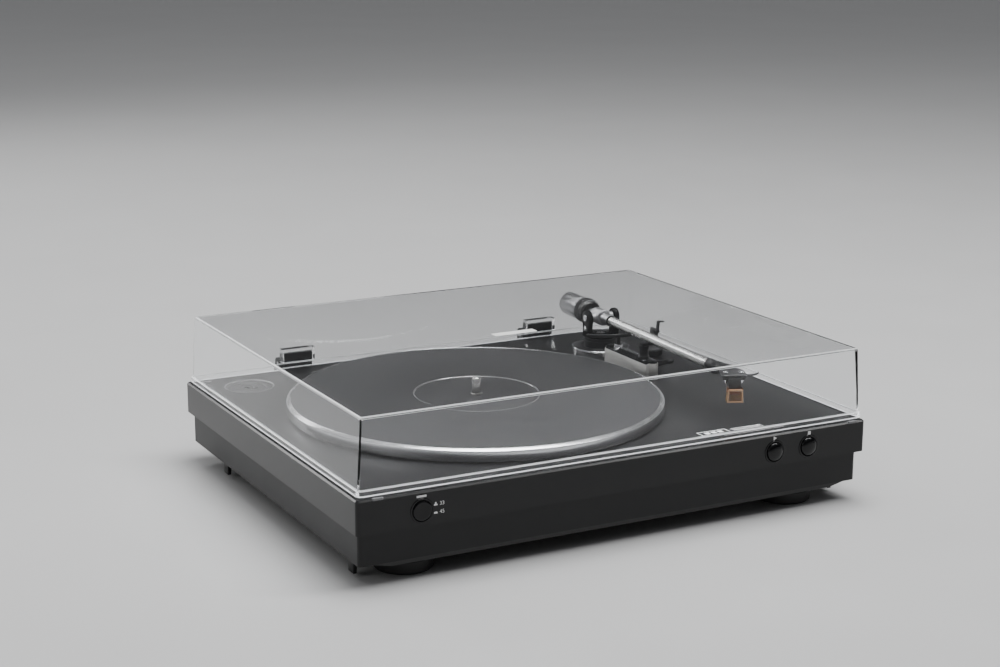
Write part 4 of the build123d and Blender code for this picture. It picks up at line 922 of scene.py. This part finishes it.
stylus_block = slab(rounded(-4.1, 4.1, -10.0, 3.3, (1.0, 1.0, 0.4, 0.4)), 18.8, 23.5, 0.4)
rod_slope = Vector((0, 0.66, 0.75)).normalized()
rod_place = placed(Vector((0, -STYLUS_AHEAD, 13.3)), RIGHT, rod_slope.cross(-RIGHT), rod_slope)
lever_rod = moved(lathe([(0, 0), (0.28, 0), (0.28, 7.0), (0, 7.0)], 16), rod_place)
tip = lathe([(0, 12.45), (0.14, 12.7), (0.16, 13.3), (0, 13.5)], 12)
tip = moved(tip, Matrix.Translation((0, -STYLUS_AHEAD, 0)))
piece("stylus_body", [stylus_block, lever_rod, tip], ON_HEAD, "tonearm", amber_dark, ["stylus"])

front = facing_front(0, 0, 0)


def guard_frame(half_low, half_high, low, high):
    return [(-half_low, low), (half_low, low), (half_high, high), (-half_high, high)]


panel = slab(guard_frame(6.0, 5.5, 13.4, 23.6), 10.65, 11.2, 0.1, 1)
sides = []
for side in (-1, 1):
    outline = [(5.55, 13.1), (6.45, 12.95), (5.9, 24.2), (5.05, 24.2)]
    sides.append(slab([(side * x, z) for x, z in outline], 3.1, 11.0, 0.2))
ears = []
for side in (-1, 1):
    ear = lathe([(0, 5.0), (1.3, 5.0), (1.5, 5.2), (1.5, 6.2), (1.3, 6.55), (0, 6.6)], 32)
    hinge = placed(Vector((0, -8.0, 22.8)), REAR, UP * side, RIGHT * side)
    ears.append(moved(ear, hinge))
guard_parts = [*(moved(part, front) for part in (panel, *sides)), *ears]
piece("guard_panel", guard_parts, ON_HEAD, "stylus_guard", amber, ["stylus_guard"])
bars = [
    slab([(-6.5, 12.9), (6.5, 12.9), (6.4, 14.2), (-6.4, 14.2)], 10.6, 11.6, 0.2),
    slab([(-5.95, 22.2), (5.95, 22.2), (5.9, 23.6), (-5.9, 23.6)], 10.6, 11.6, 0.2),
    slab([(-6.5, 12.9), (-5.3, 12.9), (-4.8, 23.6), (-5.9, 23.6)], 10.6, 11.6, 0.2),
    slab([(6.5, 12.9), (5.3, 12.9), (4.8, 23.6), (5.9, 23.6)], 10.6, 11.6, 0.2),
]
piece("guard_rim", [moved(part, front) for part in bars], ON_HEAD, "stylus_guard", guard_light, ())

# ---------------------------------------------------------------- counterweight and dial
sleeve = lathe([(4.05, -59.5), (5.2, -59.5), (5.4, -59.3), (5.4, -33.7), (5.2, -33.5),
                (4.05, -33.5)], 48)
piece("weight_sleeve", [sleeve], ON_ARM, "weight_bush", nylon, ["weight_bush"])
piece("counterweight_drum", [lathe([
    (5.45, -60.6), (7.6, -60.6), (7.8, -61.3), (8.0, -61.5), (9.6, -61.5), (10.2, -61.2),
    (10.5, -60.6), (10.5, -36.4), (10.3, -36.1), (10.3, -35.6), (10.5, -35.3), (10.5, -32.1),
    (10.2, -31.6), (9.8, -31.5), (5.45, -31.5),
], 96)], ON_ARM, "counterweight", weight_metal, ["counterweight"])
dial = [lathe([
    (4.05, -31.1), (10.6, -31.1), (11.0, -30.8), (11.1, -30.2), (11.1, -22.2), (10.9, -21.6),
    (9.4, -18.6), (9.0, -18.1), (8.6, -18.0), (4.05, -18.0),
], 96)]
for i in range(60):
    rib = slab(rectangle(11.0, 11.45, -0.26, 0.26), -30.3, -22.3, 0.08, 1)
    dial.append(moved(rib, Matrix.Rotation(2 * pi * i / 60, 4, "Z")))
piece("tracking_dial", dial, ON_ARM, "force_dial", arm_black, ["force_dial"])
ticks = []
for i in range(30):
    long = i % 5 == 0
    tick = slab(rectangle(-0.16, 0.16, 0, 2.4 if long else 1.4), 0, 0.06)
    slope = placed(Vector((10.92, 0, -21.45)), REAR, Vector((-1.55, 0, 3.0)).normalized(),
                   Vector((3.0, 0, 1.55)).normalized())
    ticks.append(moved(tick, Matrix.Rotation(2 * pi * i / 30, 4, "Z") @ slope))
piece("tracking_dial_ticks", ticks, ON_ARM, "force_dial", ink_white, ())

# ---------------------------------------------------------------- camera, floor, lights
camera = bpy.data.objects.new("camera", bpy.data.cameras.new("camera"))
bpy.context.collection.objects.link(camera)
bpy.context.scene.camera = camera
camera.data.lens = 68.2
camera.data.sensor_width = 36.0
camera_at = Vector((-716.5, -1317.6, 487.3)) * MM
camera_to = Vector((97.9, 203.7, 66.5)) * MM
turn = (camera_to - camera_at).to_track_quat("-Z", "Y").to_matrix().to_4x4()
camera.matrix_world = Matrix.Translation(camera_at) @ turn @ Matrix.Rotation(radians(0.258), 4, "Z")
camera.data.clip_start = 0.05
camera.data.clip_end = 60.0

floor_mat, nt, s = new_material("floor")
vary_colour(nt, s, noise(nt, 3.0), (0.56, 0.56, 0.56), (0.61, 0.61, 0.61))
nt.links.new(remap(nt, noise(nt, 12.0), 0.42, 0.55), s.inputs["Roughness"])
floor_mesh = bpy.data.meshes.new("floor")
floor_mesh.from_pydata([(-9, -9, 0), (9, -9, 0), (9, 9, 0), (-9, 9, 0)], [], [(0, 1, 2, 3)])
floor = bpy.data.objects.new("floor", floor_mesh)
floor_mesh.materials.append(floor_mat)
bpy.context.collection.objects.link(floor)

world = bpy.data.worlds.new("world")
bpy.context.scene.world = world
world.use_nodes = True
nt = world.node_tree
sky = nt.nodes["Background"]
sky.inputs["Color"].default_value = (0.82, 0.83, 0.85, 1)
split = nt.nodes.new("ShaderNodeSeparateXYZ")
nt.links.new(nt.nodes.new("ShaderNodeTexCoord").outputs["Generated"], split.inputs[0])
bands = []
for start, end, low, high in ((0.35, 1.0, 0.05, 0.55), (0.06, 0.21, 0.62, 0.05)):
    band = nt.nodes.new("ShaderNodeMapRange")
    band.interpolation_type = "SMOOTHSTEP"
    nt.links.new(split.outputs["Z"], band.inputs["Value"])
    band.inputs["From Min"].default_value = start
    band.inputs["From Max"].default_value = end
    band.inputs["To Min"].default_value = low
    band.inputs["To Max"].default_value = high
    bands.append(band.outputs[0])
nt.links.new(math_node(nt, "MAXIMUM", *bands), sky.inputs["Strength"])


def softbox(name, place, target, size, power):
    light = bpy.data.lights.new(name, "AREA")
    light.shape = "RECTANGLE"
    light.size, light.size_y = size
    light.energy = power
    o = bpy.data.objects.new(name, light)
    place, target = Vector(place), Vector(target)
    aim = (target - place).to_track_quat("-Z", "Y").to_matrix().to_4x4()
    o.matrix_world = Matrix.Translation(place) @ aim
    bpy.context.collection.objects.link(o)


softbox("top", (0.2, 0.1, 2.3), (0, 0, 0), (1.3, 1.3), 56)
softbox("back", (-0.1, 2.1, 1.3), (0, 0, 0.05), (1.5, 0.22), 7)
softbox("back_left", (-0.95, 2.1, 1.02), (-0.2, 0, 0.06), (0.6, 0.45), 9)
softbox("right", (1.15, -0.6, 2.0), (0, 0, 0.05), (0.25, 1.3), 22)
softbox("left", (-2.0, -0.2, 1.0), (0, 0, 0.05), (1.2, 0.7), 5)
